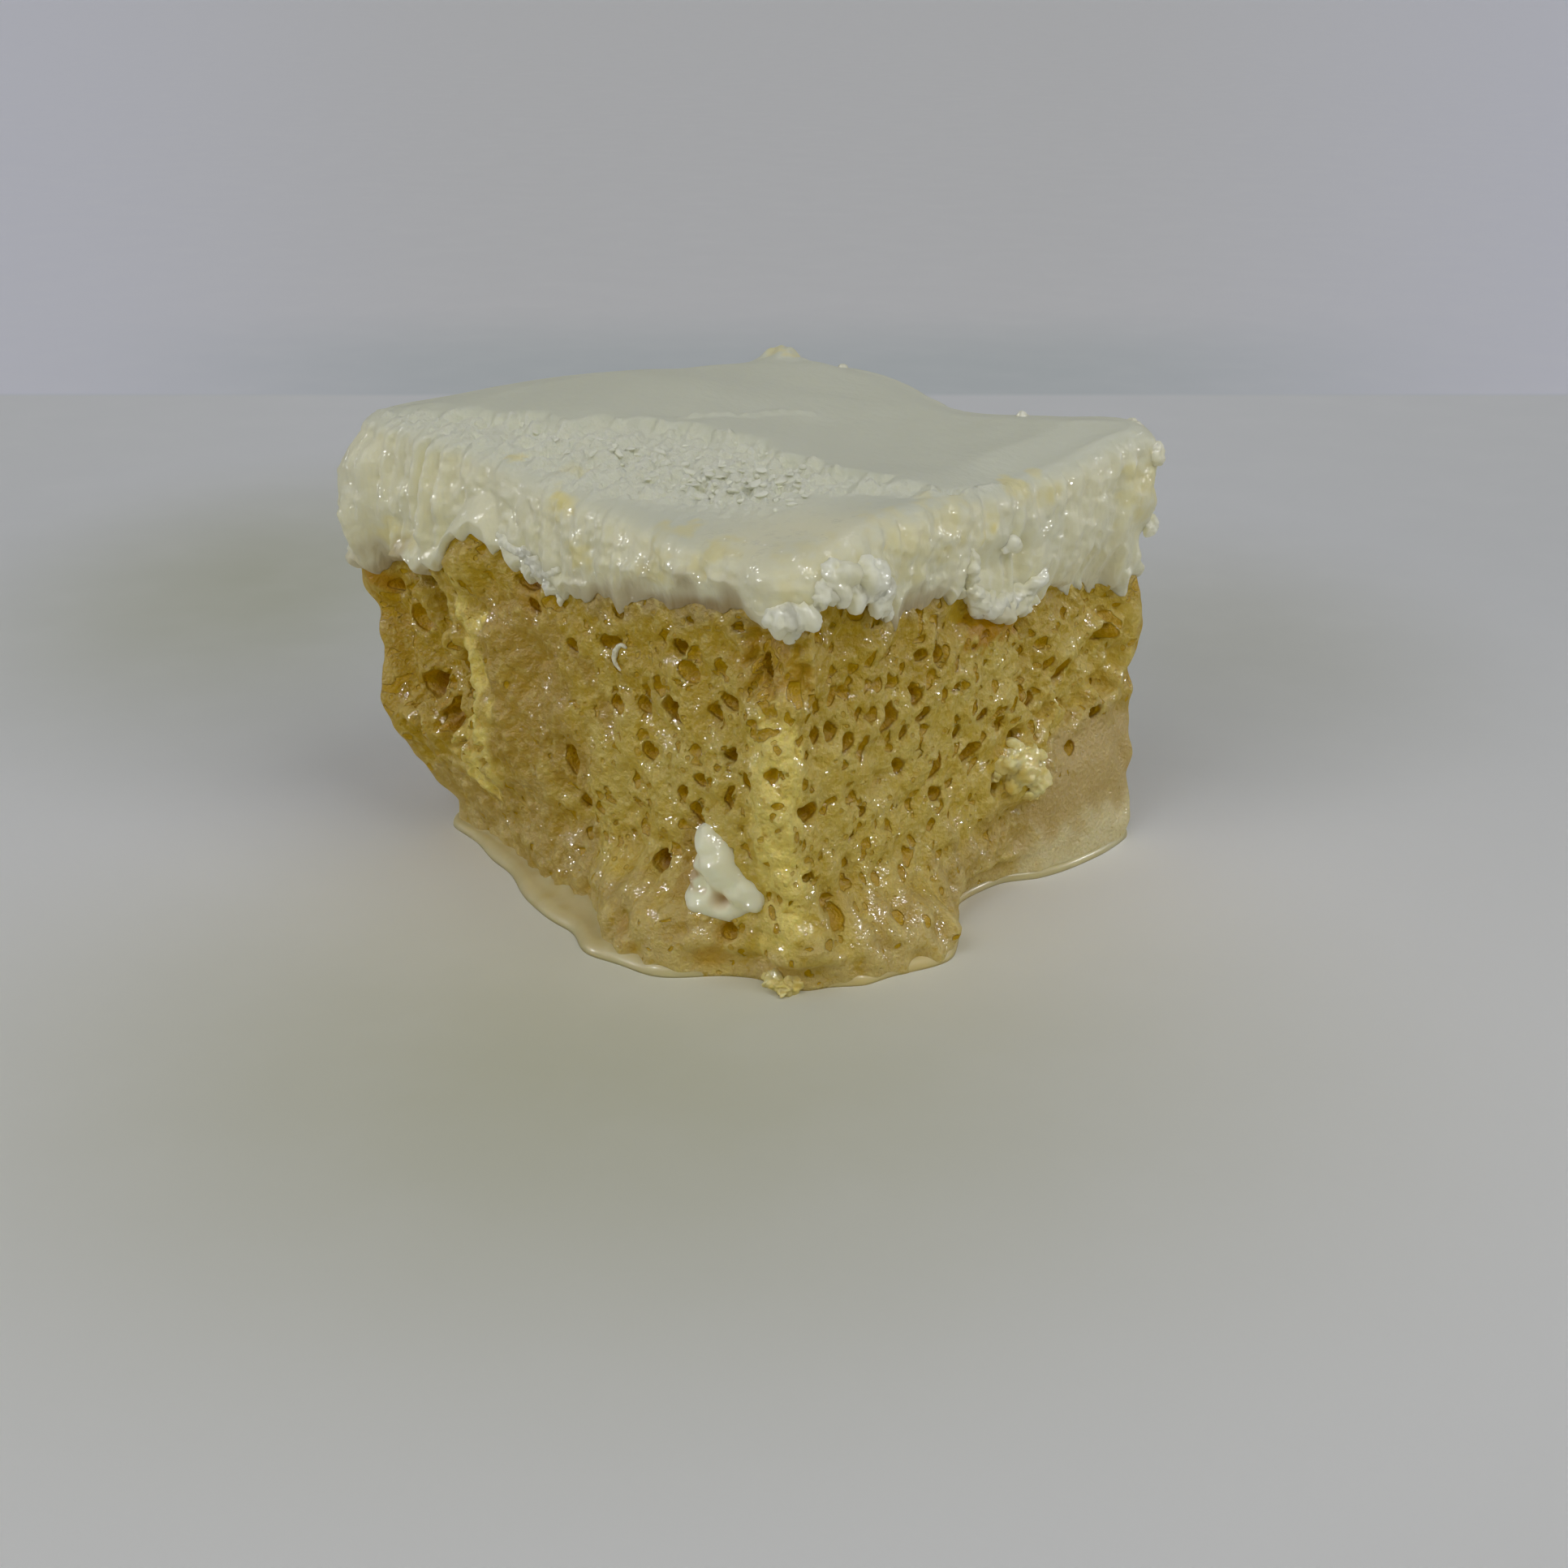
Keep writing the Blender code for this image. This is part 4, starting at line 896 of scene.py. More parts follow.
FLAKY_SPOTS = (  # x, y, radius, strength of the broken crust in the scraped band
    (8.0, -17.6, 8.0, 1.0), (15.0, -17.0, 5.0, 0.7), (-3.0, -22.5, 6.0, 0.55), (-19.0, -26.5, 6.0, 0.4),
    (-9.0, -24.5, 5.0, 0.5), (26.0, 0.5, 4.5, 0.45), (-4.0, -29.0, 4.0, 0.3),
)
SCRAPE_RIDGES = (  # x and y along each ridge that the knife left
    ((-5.8, -8.7), (-4.2, -5.0), (-2.8, -0.9), (-2.4, 4.3), (0.1, 7.2)),
    ((11.4, -13.4), (14.4, -11.4), (17.9, -10.1), (22.5, -10.0), (25.3, -7.9), (29.6, -4.9)),
)
RIDGE_HEIGHT = 0.32
RIDGE_WIDTH = 0.55
TOP_RELIEF = ((17.0, 0.16, 21), (6.0, 0.05, 22))
TOP_LUMP = (-23.0, 28.0, 3.6, 2.6)  # x, y, radius, height
FROSTING_EDGES = ((4.0, 0.3, 71), (1.6, 0.22, 72))  # raggedness of the lower edge
FROSTING_STAINS = (  # x, y, z, radius, strength
    (-0.9, -32.0, 48.0, 1.5, 0.95), (-10.5, -29.4, 51.0, 1.0, 0.7), (15.0, -29.7, 47.7, 2.2, 0.55),
    (14.2, -32.8, 43.6, 2.2, 0.5), (21.4, -31.9, 46.3, 2.4, 0.6), (2.3, -32.7, 43.2, 1.6, 0.7),
    (20.9, -28.8, 47.7, 1.2, 0.6), (-4.0, -27.4, 50.5, 1.8, 0.35), (-30.3, -32.8, 38.8, 2.4, 0.6),
    (-25.7, -32.9, 39.9, 1.3, 0.6), (-36.1, -33.4, 42.8, 1.4, 0.6), (31.6, 5.5, 48.1, 2.0, 0.7),
    (32.7, 10.1, 47.3, 1.6, 0.5), (30.9, 10.0, 48.9, 1.4, 0.5), (32.4, -7.0, 47.2, 4.0, 0.4),
    (33.6, -0.7, 45.3, 1.3, 1.0), (33.5, 28.0, 45.0, 4.0, 0.5), (33.0, -15.0, 46.0, 5.0, 0.35),
    (32.5, -27.0, 45.5, 5.0, 0.35), (-23.0, 27.5, 54.0, 3.6, 0.5), (-34.0, -20.0, 46.0, 3.0, 0.4),
    (-33.0, 6.9, 53.2, 0.9, 0.9), (-31.0, 22.7, 52.6, 0.9, 0.9), (10.0, 34.0, 46.0, 2.5, 0.5),
    (-15.0, 34.0, 45.0, 3.0, 0.5), (-34.5, 8.0, 47.0, 3.0, 0.45),
)
STAIN_EDGES = ((3.0, 0.25, 81), (1.3, 0.15, 82))
COMBED = (  # u, half width, strength
    (3.66, 0.26, 1.0), (3.12, 0.16, 0.6), (0.83, 0.15, 0.7), (0.29, 0.14, 0.9),
)
# Painted light: walls and the near corner's front slope painted lighter than the top, with a cream tint.
LIT_CREAMY_CORNER = (28.0, -27.0, 13.0)  # x, y, radius
FROSTING_WHITE = (0.698, 0.707, 0.558)
FROSTING_CREAM_AND_LIGHT = (0.864, 0.826, 0.57)
FROSTING_LAYERS = (
    ("cream_and_light", FROSTING_CREAM_AND_LIGHT), ("broken", (0.839, 0.839, 0.669)), ("stain", (0.84, 0.74, 0.30)),
    ("thin", (0.40, 0.29, 0.13)),
)


def frosting_wall(u, z, rim, lower, rough):
    """Plan of the frosting's wall at height z: it leans out to its lower edge, with swells and knife marks.

    A knife mark is the size of a noise that hardly changes upwards; rough is how much of it is left.
    """
    share = (rim - z) / (rim - lower)
    high, low = (outline(c, u, FROSTING_ROUNDING) for c in (FROSTING_RIM_CORNERS, FROSTING_LOW_CORNERS))
    plan = high + (low - high) * share[:, None]
    out = FROSTING_OUT + FROSTING_BELLY * np.sin(np.pi * np.clip(share, 0.0, 1.0)) + notch(u)
    out += swells(FROSTING_SWELLS, u, z)
    drawn, marks = ring(plan, z * 0.13), ripples(ring(plan, z), FROSTING_MARKS)
    for k, (place, half, spacing, depth) in enumerate(KNIFE_MARKS):
        bell = np.exp(-((along_side(u, place) / half) ** 4))
        marks += depth * bell * (np.abs(ripple(drawn, 2.0 * spacing, 90 + k)) - 0.6)
    return plan + outward(u) * (out + marks * rough)[:, None]


def away_from(x, y, line):
    """Distance of points from a line through a few places: the least distance to its straight stretches."""
    least = np.full(np.shape(x), 99.0)
    for (x0, y0), (x1, y1) in zip(line[:-1], line[1:]):
        long = (x1 - x0) ** 2 + (y1 - y0) ** 2
        share = np.clip(((x - x0) * (x1 - x0) + (y - y0) * (y1 - y0)) / long, 0.0, 1.0)
        least = np.minimum(least, np.hypot(x - x0 - share * (x1 - x0), y - y0 - share * (y1 - y0)))
    return least


def sum_of_bells(u, places):
    """Sum of flat-topped bells along the sides, each times its strength, no more than 1."""
    total = sum(strength * np.exp(-((along_side(u, place) / half) ** 4)) for place, half, strength in places)
    return np.minimum(total, 1.0)


def scraped_band(x, y):
    """How scraped and flaky the top is at places on it, how far it is behind the line, and its roughness."""
    level = np.stack([x, y, np.zeros_like(x)], axis=-1)
    behind = y - np.interp(x, *np.array(SCRAPE_LINE).T) + 0.5 * ripple(level, 5.0, 84)
    flaky = sum(strength * np.exp(-(((x - fx) ** 2 + (y - fy) ** 2) / wide**2))
                for fx, fy, wide, strength in FLAKY_SPOTS)
    flaky = flaky * smooth_step((1.2 - behind) / 1.5)
    reach = np.interp(x, *np.array(SCRAPE_REACH).T) + 1.5 * ripple(level, 9.0, 88)
    scraped = smooth_step((1.0 - behind) / 1.5) * smooth_step((behind + reach) / 5.0)
    across = np.stack([0.15 * (0.91 * x + 0.41 * y), 0.91 * y - 0.41 * x, np.zeros_like(x)], axis=-1)
    rise = 0.08 * scraped * ripple(across, 2.0, 89)
    for wave, seed, on_scraped, on_flaky in SCRAPE_RELIEF:
        rise += (on_scraped * scraped + on_flaky * flaky) * ripple(level, wave, seed)
    return scraped, flaky, behind, rise


u_line = np.arange(4 * FROSTING_COLUMNS) / FROSTING_COLUMNS
columns = len(u_line)
normal = outward(u_line)
joint = joint_height(u_line)
rim = round_curve(FROSTING_TOP_EDGE, u_line)
set_lower = round_curve(FROSTING_LOWER_EDGE, u_line)
edge_points = ring(sponge_wall(u_line, set_lower), set_lower)
lower = set_lower + ripples(edge_points, FROSTING_EDGES)
for place, length, half in DRIPS:
    lower -= length * np.exp(-np.abs(along_side(u_line, place) / half) ** 1.5)
edge = sponge_wall(u_line, joint)
smear_edge = sum_of_bells(u_line, [(place, half, 1.0) for place, half in SMEARS])
thin_edge = sum_of_bells(u_line, THIN_EDGES)
place, half, more = WIDE_SHOULDER
wider = 1.0 + more / SHOULDER * np.exp(-((along_side(u_line, place) / half) ** 4))
foot = rim - SHOULDER
lip_seat = sponge_wall(u_line, lower) - normal * LIP_SINK
rings = [ring(edge * TOP_SHARE, SPONGE_TOP - 2.0), ring(lip_seat, lower + 0.2)]
thin_rows = [np.zeros(columns), thin_edge]
for row in range(FROSTING_ROWS + 1):
    z_row = lower + (foot - lower) * (row / FROSTING_ROWS) ** 1.3
    crumb_plan = sponge_wall(u_line, np.minimum(z_row, joint))
    plan = frosting_wall(u_line, z_row, rim, set_lower, np.ones(columns))
    wanted = LIP_WIDTH - LIP_LEAN * np.maximum(z_row - joint, 0.0)
    stand = ((plan - crumb_plan) * normal).sum(axis=1)
    full = np.maximum(stand, wanted) + swells((SMEAR_HOLLOW,), u_line, z_row)
    climb = z_row - lower
    rounded = 0.1 + np.sqrt(2.0 * LIP_ROUND * climb)
    smeared_out = 0.06 + 0.2 * climb + 0.06 * climb**2
    offset = np.minimum(full, rounded + (smeared_out - rounded) * smear_edge)
    slip = (plan - crumb_plan) - normal * stand[:, None]
    slip = slip * smooth_step(climb / 4.0)[:, None]
    rings.append(ring(crumb_plan + normal * offset[:, None] + slip, z_row))
    thin_height = THIN_HEIGHT * (1.0 + 0.3 * ripple(rings[-1], 4.0, 83))
    thin_rows.append(thin_edge * np.exp(-((climb / thin_height) ** 2)))
plan = rings[-1][:, :2]
calm = frosting_wall(u_line, foot, rim, set_lower, np.zeros(columns))
for step in range(1, SHOULDER_STEPS + 1):
    turn = np.pi / 2.0 * step / SHOULDER_STEPS
    kept = calm + (plan - calm) * np.cos(turn) ** 1.5
    in_by = SHOULDER * wider * (1.0 - np.cos(turn))
    rings.append(ring(kept * (1.0 - in_by / FROSTING_HALF)[:, None], foot + SHOULDER * np.sin(turn)))
    thin_rows.append(np.zeros(columns))

# The top: a Coons patch inside the last ring, with the scraped band one step lower.
n = FROSTING_COLUMNS
border = rings[-1]
south, east, north, west = (border[np.arange(k * n, k * n + n + 1) % (4 * n)] for k in range(4))
north, west = north[::-1], west[::-1]
s, t = (x[..., None] for x in np.meshgrid(np.linspace(0, 1, n + 1), np.linspace(0, 1, n + 1)))
top = (1 - t) * south[None] + t * north[None] + (1 - s) * west[:, None] + s * east[:, None]
top -= (1 - t) * ((1 - s) * south[0] + s * south[-1]) + t * ((1 - s) * north[0] + s * north[-1])
x, y = top[..., 0], top[..., 1]
level = np.stack([x, y, np.zeros_like(x)], axis=-1)
inside = smooth_step(np.minimum.reduce([s, 1 - s, t, 1 - t])[..., 0] * 10.0)
scraped, flaky, behind_line, rough_rise = scraped_band(x, y)
torn_broad, torn_up = ripple(level, 3.0, 85), ripple(level, 1.7, 86)
rise = SCRAPE_STEP * smooth_step((behind_line + 0.9 + 0.25 * torn_broad + 0.12 * torn_up) / 1.8)
for line in SCRAPE_RIDGES:
    rise += RIDGE_HEIGHT * np.exp(-((away_from(x, y, line) / RIDGE_WIDTH) ** 2)) * (1.0 + 0.4 * torn_up)
rise += ripples(level, TOP_RELIEF)
lump_x, lump_y, wide, high = TOP_LUMP
lump = high * np.exp(-((x - lump_x) ** 2 + (y - lump_y) ** 2) / wide**2)
rise += lump * (1.0 + 0.12 * torn_broad + 0.1 * torn_up)
top[..., 2] += rise * inside + rough_rise
shoulder_band = []
for step in range(SHOULDER_STEPS):
    part = rings[step - SHOULDER_STEPS]
    ring_scraped, ring_flaky, _, ring_rise = scraped_band(part[:, 0], part[:, 1])
    reached = smooth_step((step + 1.0) / SHOULDER_STEPS)
    part[:, 2] += reached * ring_rise
    shoulder_band.append(reached * np.minimum(ring_flaky + 0.6 * ring_scraped, 1.0))

index = np.full((n + 1, n + 1), -1)
k = np.arange(n + 1)
first = (len(rings) - 1) * columns
index[0, k] = first + k
index[k, n] = first + n + k
index[n, n - k] = first + 2 * n + k
index[n - k, 0] = first + (3 * n + k) % (4 * n)
loose = index < 0
index[loose] = first + 4 * n + np.arange(loose.sum())
patch = np.stack([index[:-1, :-1], index[:-1, 1:], index[1:, 1:], index[1:, :-1]], axis=-1).reshape(-1, 4)
points = np.concatenate([*rings, top[loose], [rings[0].mean(axis=0)]])
groups = [ring_quads(len(rings), columns), patch, fan(0, columns, len(points) - 1, False)]
on_top = np.zeros(loose.sum() + 1)
wobble = ripples(points, STAIN_EDGES)
stain = np.zeros(len(points))
for sx, sy, sz, wide, strength in FROSTING_STAINS:
    far_off = np.linalg.norm(points - (sx, sy, sz), axis=1) / wide
    stain = np.maximum(stain, strength * smooth_step(1.3 - far_off + wobble))
rim_above = np.concatenate([np.tile(rim, len(rings)), on_top])
# Cream and painted light below the upper edge and round the near corner's slope; the top stays darker.
near_x, near_y, wide = LIT_CREAMY_CORNER
lit_near_corner = smooth_step(1.3 - np.hypot(points[:, 0] - near_x, points[:, 1] - near_y) / wide)
cream_and_light = np.maximum(smooth_step((rim_above - points[:, 2] + 0.5) / 3.0), lit_near_corner)
combed = np.concatenate([sum_of_bells(np.tile(u_line, len(rings)), COMBED), on_top])
frosting_mesh = make_mesh("frosting_spread", points, groups, {
    "thin": np.concatenate([*thin_rows, on_top]), "stain": stain,
    "cream_and_light": cream_and_light * (0.92 + 0.1 * ripple(points, 9.0, 80)),
    "broken": np.concatenate([np.zeros((len(rings) - SHOULDER_STEPS) * columns), *shoulder_band,
                              np.minimum(flaky + 0.6 * scraped, 1.0)[loose], [0.0]]),
    "combed": combed * smooth_step((rim_above - 2.0 - points[:, 2]) / 2.0),
})

frosting_look, tree, shader = new_material("whipped frosting")
texture = use_grain(tree, 1.2)
tree.links.new(lay_on(tree, FROSTING_WHITE, FROSTING_LAYERS), shader.inputs["Base Color"])
place = object_place(tree)
stretched = work_out_vector(tree, "MULTIPLY", place, (1.0, 1.0, 0.12))
comb = noise(tree, stretched, waves=1100.0, detail=1.0)
combs = work_out(tree, "MULTIPLY", comb, mask_of(tree, "combed"))
cracks = work_out(tree, "MULTIPLY", noise(tree, place, waves=1500.0, detail=4.0), mask_of(tree, "broken"))
height = work_out(tree, "MULTIPLY_ADD", texture.outputs["Height"], 0.25, combs)
roughen(tree, shader, work_out(tree, "ADD", height, cracks), distance=0.6, strength=0.9)
use_sparkle(tree, shader, work_out(tree, "MULTIPLY", mask_of(tree, "cream_and_light"), 0.3))
make_wet(shader, roughness=0.62, coat=0.3, coat_roughness=0.2, spread=0.5, reach=(1.6, 1.5, 1.1))
add_piece("frosting_spread", frosting_mesh, frosting_look, "frosting", "frosting")


# Torn frosting: soft dollops pushed out under the near corner, the raised rim of the bowl-shaped smear, lacy
# threads at the torn peak and a curl lower down. Each dollop is a dented ball and each thread a soft tube.
DOLLOPS = (  # place u and height on the frosting's wall, how far they stand off it, half sizes
    (0.092, 44.8, -0.4, (1.8, 2.2, 2.0)),
    (0.062, 43.6, -0.3, (1.7, 2.0, 1.7)),
    (0.122, 43, -0.3, (1.6, 1.6, 1.7)),
    (0.165, 43.8, -0.3, (1.8, 2.5, 2.5)),
    (0.186, 42, -0.2, (1.4, 1.8, 2.0)),
    (0.206, 40.4, -0.3, (0.8, 1.0, 1.6)),
    (0.222, 39.2, 0.3, (0.45, 0.5, 0.9)),
    (0.03, 41.6, -0.2, (1.9, 2.0, 1.8)),
    (3.992, 41.4, -0.1, (2.0, 1.9, 1.6)),
    (0.012, 40, -0.4, (1.1, 1.1, 1.5)),
    (0.562, 42.4, 0.1, (0.45, 1.2, 0.8)),
    (0.985, 39.6, 0.3, (1.1, 1.1, 1.2)),
    (0.975, 48.4, -0.6, (1.3, 1.6, 1.5)),
    (1.255, 50.2, -1.2, (1.3, 0.9, 0.6)),
    (1.03, 50.7, -1.4, (1.4, 1.1, 0.9)),
    (1.80, 51.2, -1.4, (1.6, 1.1, 0.8)),
)
DOLLOP_DENTS = ((3.4, 0.32, 101), (1.6, -0.09, 102), (0.8, -0.05, 103))  # wavelength, depth, seed
THREADS = (  # places u, height and off the wall along the thread, thickness at its start, middle and end
    (((0.450, 43.9, -0.2), (0.448, 41.5, 0.1), (0.452, 39.0, 0.2), (0.472, 37.0, 0.3), (0.510, 35.9, 0.3),
      (0.555, 35.6, 0.3), (0.600, 36.0, 0.3), (0.645, 37.2, 0.2), (0.675, 38.6, -0.4)), (0.6, 1.5, 0.7)),
    (((0.478, 36.6, 0.3), (0.520, 35.2, 0.4), (0.570, 35.0, 0.4), (0.620, 35.8, 0.2)), (0.6, 1.0, 0.6)),
    (((3.443, 41.6, 0.0), (3.472, 40.8, 0.2), (3.500, 39.4, 0.2), (3.520, 38.0, 0.0)), (0.4, 0.7, 0.4)),
    (((3.436, 39.9, 0.0), (3.469, 39.3, 0.3), (3.500, 39.8, 0.2), (3.537, 41.0, 0.0)), (0.3, 0.5, 0.6)),
    (((3.463, 41.9, 0.0), (3.472, 39.9, 0.3), (3.477, 38.6, 0.1)), (0.3, 0.45, 0.25)),
    (((3.440, 42.0, -0.2), (3.465, 41.2, 0.0), (3.490, 39.9, 0.1), (3.513, 38.6, 0.1), (3.535, 37.4, 0.0)),
     (0.9, 0.9, 0.4)),
    (((3.478, 40.4, 0.2), (3.474, 39.2, 0.3), (3.468, 38.4, 0.1)), (0.4, 0.35, 0.15)),
    (((3.503, 39.0, 0.2), (3.505, 37.8, 0.3), (3.500, 37.0, 0.1)), (0.4, 0.35, 0.15)),
    (((3.524, 38.0, 0.2), (3.532, 37.0, 0.3), (3.530, 36.2, 0.1)), (0.35, 0.3, 0.12)),
    (((3.385, 43.4, -0.3), (3.413, 42.2, 0.1), (3.446, 41.6, 0.2), (3.477, 41.8, 0.0)), (0.5, 0.6, 0.4)),
    (((3.668, 33.4, 0.0), (3.655, 33.9, 0.3), (3.643, 32.9, 0.4), (3.640, 31.6, 0.4), (3.650, 30.6, 0.1)),
     (0.2, 0.34, 0.2)),
)
THREAD_STEPS = 90
THREAD_ROUND = 26
THREAD_DENTS = ((2.6, 0.25, 104), (1.2, -0.12, 105), (0.65, -0.07, 107))
TORN_PALE = (0.95, 0.935, 0.74)


def dent(points, outwards, waves):
    """Moves points outward by noises' sizes: round bulges with creases, or ridges for a depth below 0."""
    bulges = sum(depth * (1.5 * np.sqrt(ripple(points, wave, seed) ** 2 + 0.05) - 1.2)
                 for wave, depth, seed in waves)
    return points + outwards * bulges[..., None]


def balls(middles, halves, rows, around, waves, turns=None):
    """Closed dented balls: a unit sphere's rings and poles, stretched, turned, placed and dented."""
    polar = np.pi * np.arange(1, rows + 1) / (rows + 1)
    angle = 2.0 * np.pi * np.arange(around) / around
    ball = np.stack([np.outer(np.sin(polar), np.cos(angle)), np.outer(np.sin(polar), np.sin(angle)),
                     np.outer(-np.cos(polar), np.ones(around))], axis=-1).reshape(-1, 3)
    ball = np.concatenate([ball, [(0.0, 0.0, -1.0), (0.0, 0.0, 1.0)]])
    middles, halves = np.asarray(middles, float), np.asarray(halves, float)
    shapes = ball[None] * halves[:, None]
    outwards = ball[None] / halves[:, None]
    outwards /= np.linalg.norm(outwards, axis=2, keepdims=True)
    if turns is not None:
        shapes, outwards = (np.einsum("nij,nmj->nmi", turns, part) for part in (shapes, outwards))
    points = dent(middles[:, None] + shapes, outwards, waves)
    count = len(ball)
    shift = (np.arange(len(middles)) * count)[:, None, None]
    caps = [fan(0, around, count - 2, False), fan((rows - 1) * around, around, count - 1, True)]
    quads = (ring_quads(rows, around)[None] + shift).reshape(-1, 4)
    return points.reshape(-1, 3), [quads, (np.concatenate(caps)[None] + shift).reshape(-1, 3)]


def thread(places, thickness, waves):
    """A closed soft tube: rings round a curve through the places, shrinking to a point at both ends."""
    at = np.linspace(0.0, 1.0, len(places))
    share = np.linspace(0.0, 1.0, THREAD_STEPS)
    blend = np.exp(-(((share[:, None] - at[None]) * (len(places) - 1) / 0.75) ** 2))
    spine = blend / blend.sum(axis=1, keepdims=True) @ places
    ahead = np.gradient(spine, axis=0)
    ahead /= np.linalg.norm(ahead, axis=1, keepdims=True)
    side = np.cross(ahead, (0.3, -0.4, 0.86))
    side /= np.linalg.norm(side, axis=1, keepdims=True)
    other = np.cross(ahead, side)
    wide = np.interp(share, (0.0, 0.5, 1.0), thickness)
    wide *= np.sqrt(np.clip(1.0 - (2.0 * share - 1.0) ** 8, 0.02, 1.0))
    angle = 2.0 * np.pi * np.arange(THREAD_ROUND) / THREAD_ROUND
    outwards = np.cos(angle)[None, :, None] * side[:, None] + np.sin(angle)[None, :, None] * other[:, None]
    points = spine[:, None] + outwards * wide[:, None, None]
    points = dent(points, outwards * np.minimum(wide, 1.0)[:, None, None], waves)
    points = np.concatenate([points.reshape(-1, 3), spine[[0, -1]]])
    last = (THREAD_STEPS - 1) * THREAD_ROUND
    return points, [ring_quads(THREAD_STEPS, THREAD_ROUND), fan(0, THREAD_ROUND, len(points) - 2, False),
                    fan(last, THREAD_ROUND, len(points) - 1, True)]


def joined(parts):
    """Points and faces of several shapes as one."""
    points, groups, shift = [], [], 0
    for some, faces in parts:
        points.append(some)
        groups += [group + shift for group in faces]
        shift += len(some)
    return np.concatenate(points), groups


def on_walls(places):
    """Points at u, height and off the cake's side: off the frosting, and off the sponge further down."""
    at, high, off = np.array(places, float).T
    rim_there, low_there = round_curve(FROSTING_TOP_EDGE, at), round_curve(FROSTING_LOWER_EDGE, at)
    frosted = smooth_step((high - joint_height(at) + 2.0) / 2.0)[:, None]
    plan = frosting_wall(at, high, rim_there, low_there, np.ones(len(at))) * frosted
    plan += sponge_wall(at, np.minimum(high, joint_height(at))) * (1.0 - frosted)
    return ring(plan + outward(at) * off[:, None], high)


def bit_look(name, grain, shade, colour, bump, cover, **wet):
    """Material of small bits: two mottled tones, a grain, wet patches where cover is above 0, and a coat."""
    look, tree, shader = new_material(name)
    texture = use_grain(tree, grain)
    tree.links.new(mix(tree, texture.outputs["Mottle"], shade, colour), shader.inputs["Base Color"])
    roughen(tree, shader, texture.outputs["Height"], *bump)
    if cover:
        use_sparkle(tree, shader, cover)
    make_wet(shader, **wet)
    return look


dollop_middles = on_walls([dollop[:3] for dollop in DOLLOPS])
dollop_halves = [dollop[3] for dollop in DOLLOPS]
parts = [balls(dollop_middles, dollop_halves, rows=30, around=44, waves=DOLLOP_DENTS)]
parts += [thread(on_walls(places), thickness, THREAD_DENTS) for places, thickness in THREADS]
torn_mesh = make_mesh("torn_frosting", *joined(parts))
torn_look = bit_look("torn frosting", 0.7, FROSTING_CREAM_AND_LIGHT, TORN_PALE, (0.12, 0.4), 0.25, roughness=0.6,
                     coat=0.12, coat_roughness=0.2, spread=0.4, reach=(1.4, 1.4, 1.3))
add_piece("torn_frosting", torn_mesh, torn_look, "frosting")


# Flakes: the dried skin of the frosting, broken into small curled chips where the knife dragged over it.
# Each is a flattened ball laid at a random tilt on the scraped band.
FLAKE_COUNT = 140
FLAKE_LONG = (0.3, 1.0)  # least and most half length
FLAKE_THICK = 0.2
FLAKE_TILT = 0.22  # radians
FLAKE_SHIFT = 0.2  # how far a flake is strewn from its place
FLAKE_LIFT = (-0.1, 0.15)
FLAKE_DENTS = ((1.1, 0.07, 106),)
FLAKE_SHADE = (0.88, 0.88, 0.72)
FLAKE_PALE = (0.95, 0.95, 0.80)

dice = np.random.default_rng(7)
chance = (np.maximum(flaky - 0.15, 0.0) + 0.04 * scraped * inside) * (inside > 0.9)
picked = dice.choice(chance.size, FLAKE_COUNT, p=(chance / chance.sum()).ravel())
strewn = dice.normal(0.0, FLAKE_SHIFT, (FLAKE_COUNT, 2))
lifted = dice.uniform(*FLAKE_LIFT, FLAKE_COUNT)
middles = top.reshape(-1, 3)[picked] + np.column_stack([strewn, lifted])
long = dice.uniform(*FLAKE_LONG, FLAKE_COUNT) * (0.6 + 0.4 * np.minimum(flaky.ravel()[picked], 1.0))
broad = long * dice.uniform(0.45, 0.9, FLAKE_COUNT)
halves = np.column_stack([long, broad, FLAKE_THICK * dice.uniform(0.6, 1.6, FLAKE_COUNT)])


def tilted(count, tilt, dice):
    """Random turns about the upright, each after a lean of about the tilt in a random direction."""
    spin, way = dice.uniform(0.0, 2.0 * np.pi, (2, count))
    lean = np.abs(dice.normal(0.0, tilt, count))
    zero, one = np.zeros(count), np.ones(count)
    sine, cosine = np.sin(spin), np.cos(spin)
    about_up = np.array([[cosine, -sine, zero], [sine, cosine, zero], [zero, zero, one]])
    axis = np.array([np.cos(way), np.sin(way), zero])
    cross = np.array([[zero, zero, axis[1]], [zero, zero, -axis[0]], [-axis[1], axis[0], zero]])
    outer = axis[:, None] * axis[None]
    leaned = np.cos(lean) * np.eye(3)[:, :, None] + np.sin(lean) * cross + (1.0 - np.cos(lean)) * outer
    return np.einsum("ijn,jkn->nik", leaned, about_up)


turns = tilted(FLAKE_COUNT, FLAKE_TILT, dice)
flakes = balls(middles, halves, rows=5, around=9, waves=FLAKE_DENTS, turns=turns)
flake_mesh = make_mesh("frosting_flakes", *flakes)
flake_look = bit_look("dried frosting flakes", 0.5, FLAKE_SHADE, FLAKE_PALE, (0.15, 0.5), 0.0, roughness=0.8,
                      coat=0.0, coat_roughness=0.2, spread=0.0, reach=(1.6, 1.5, 1.2))
add_piece("frosting_flakes", flake_mesh, flake_look, "frosting")


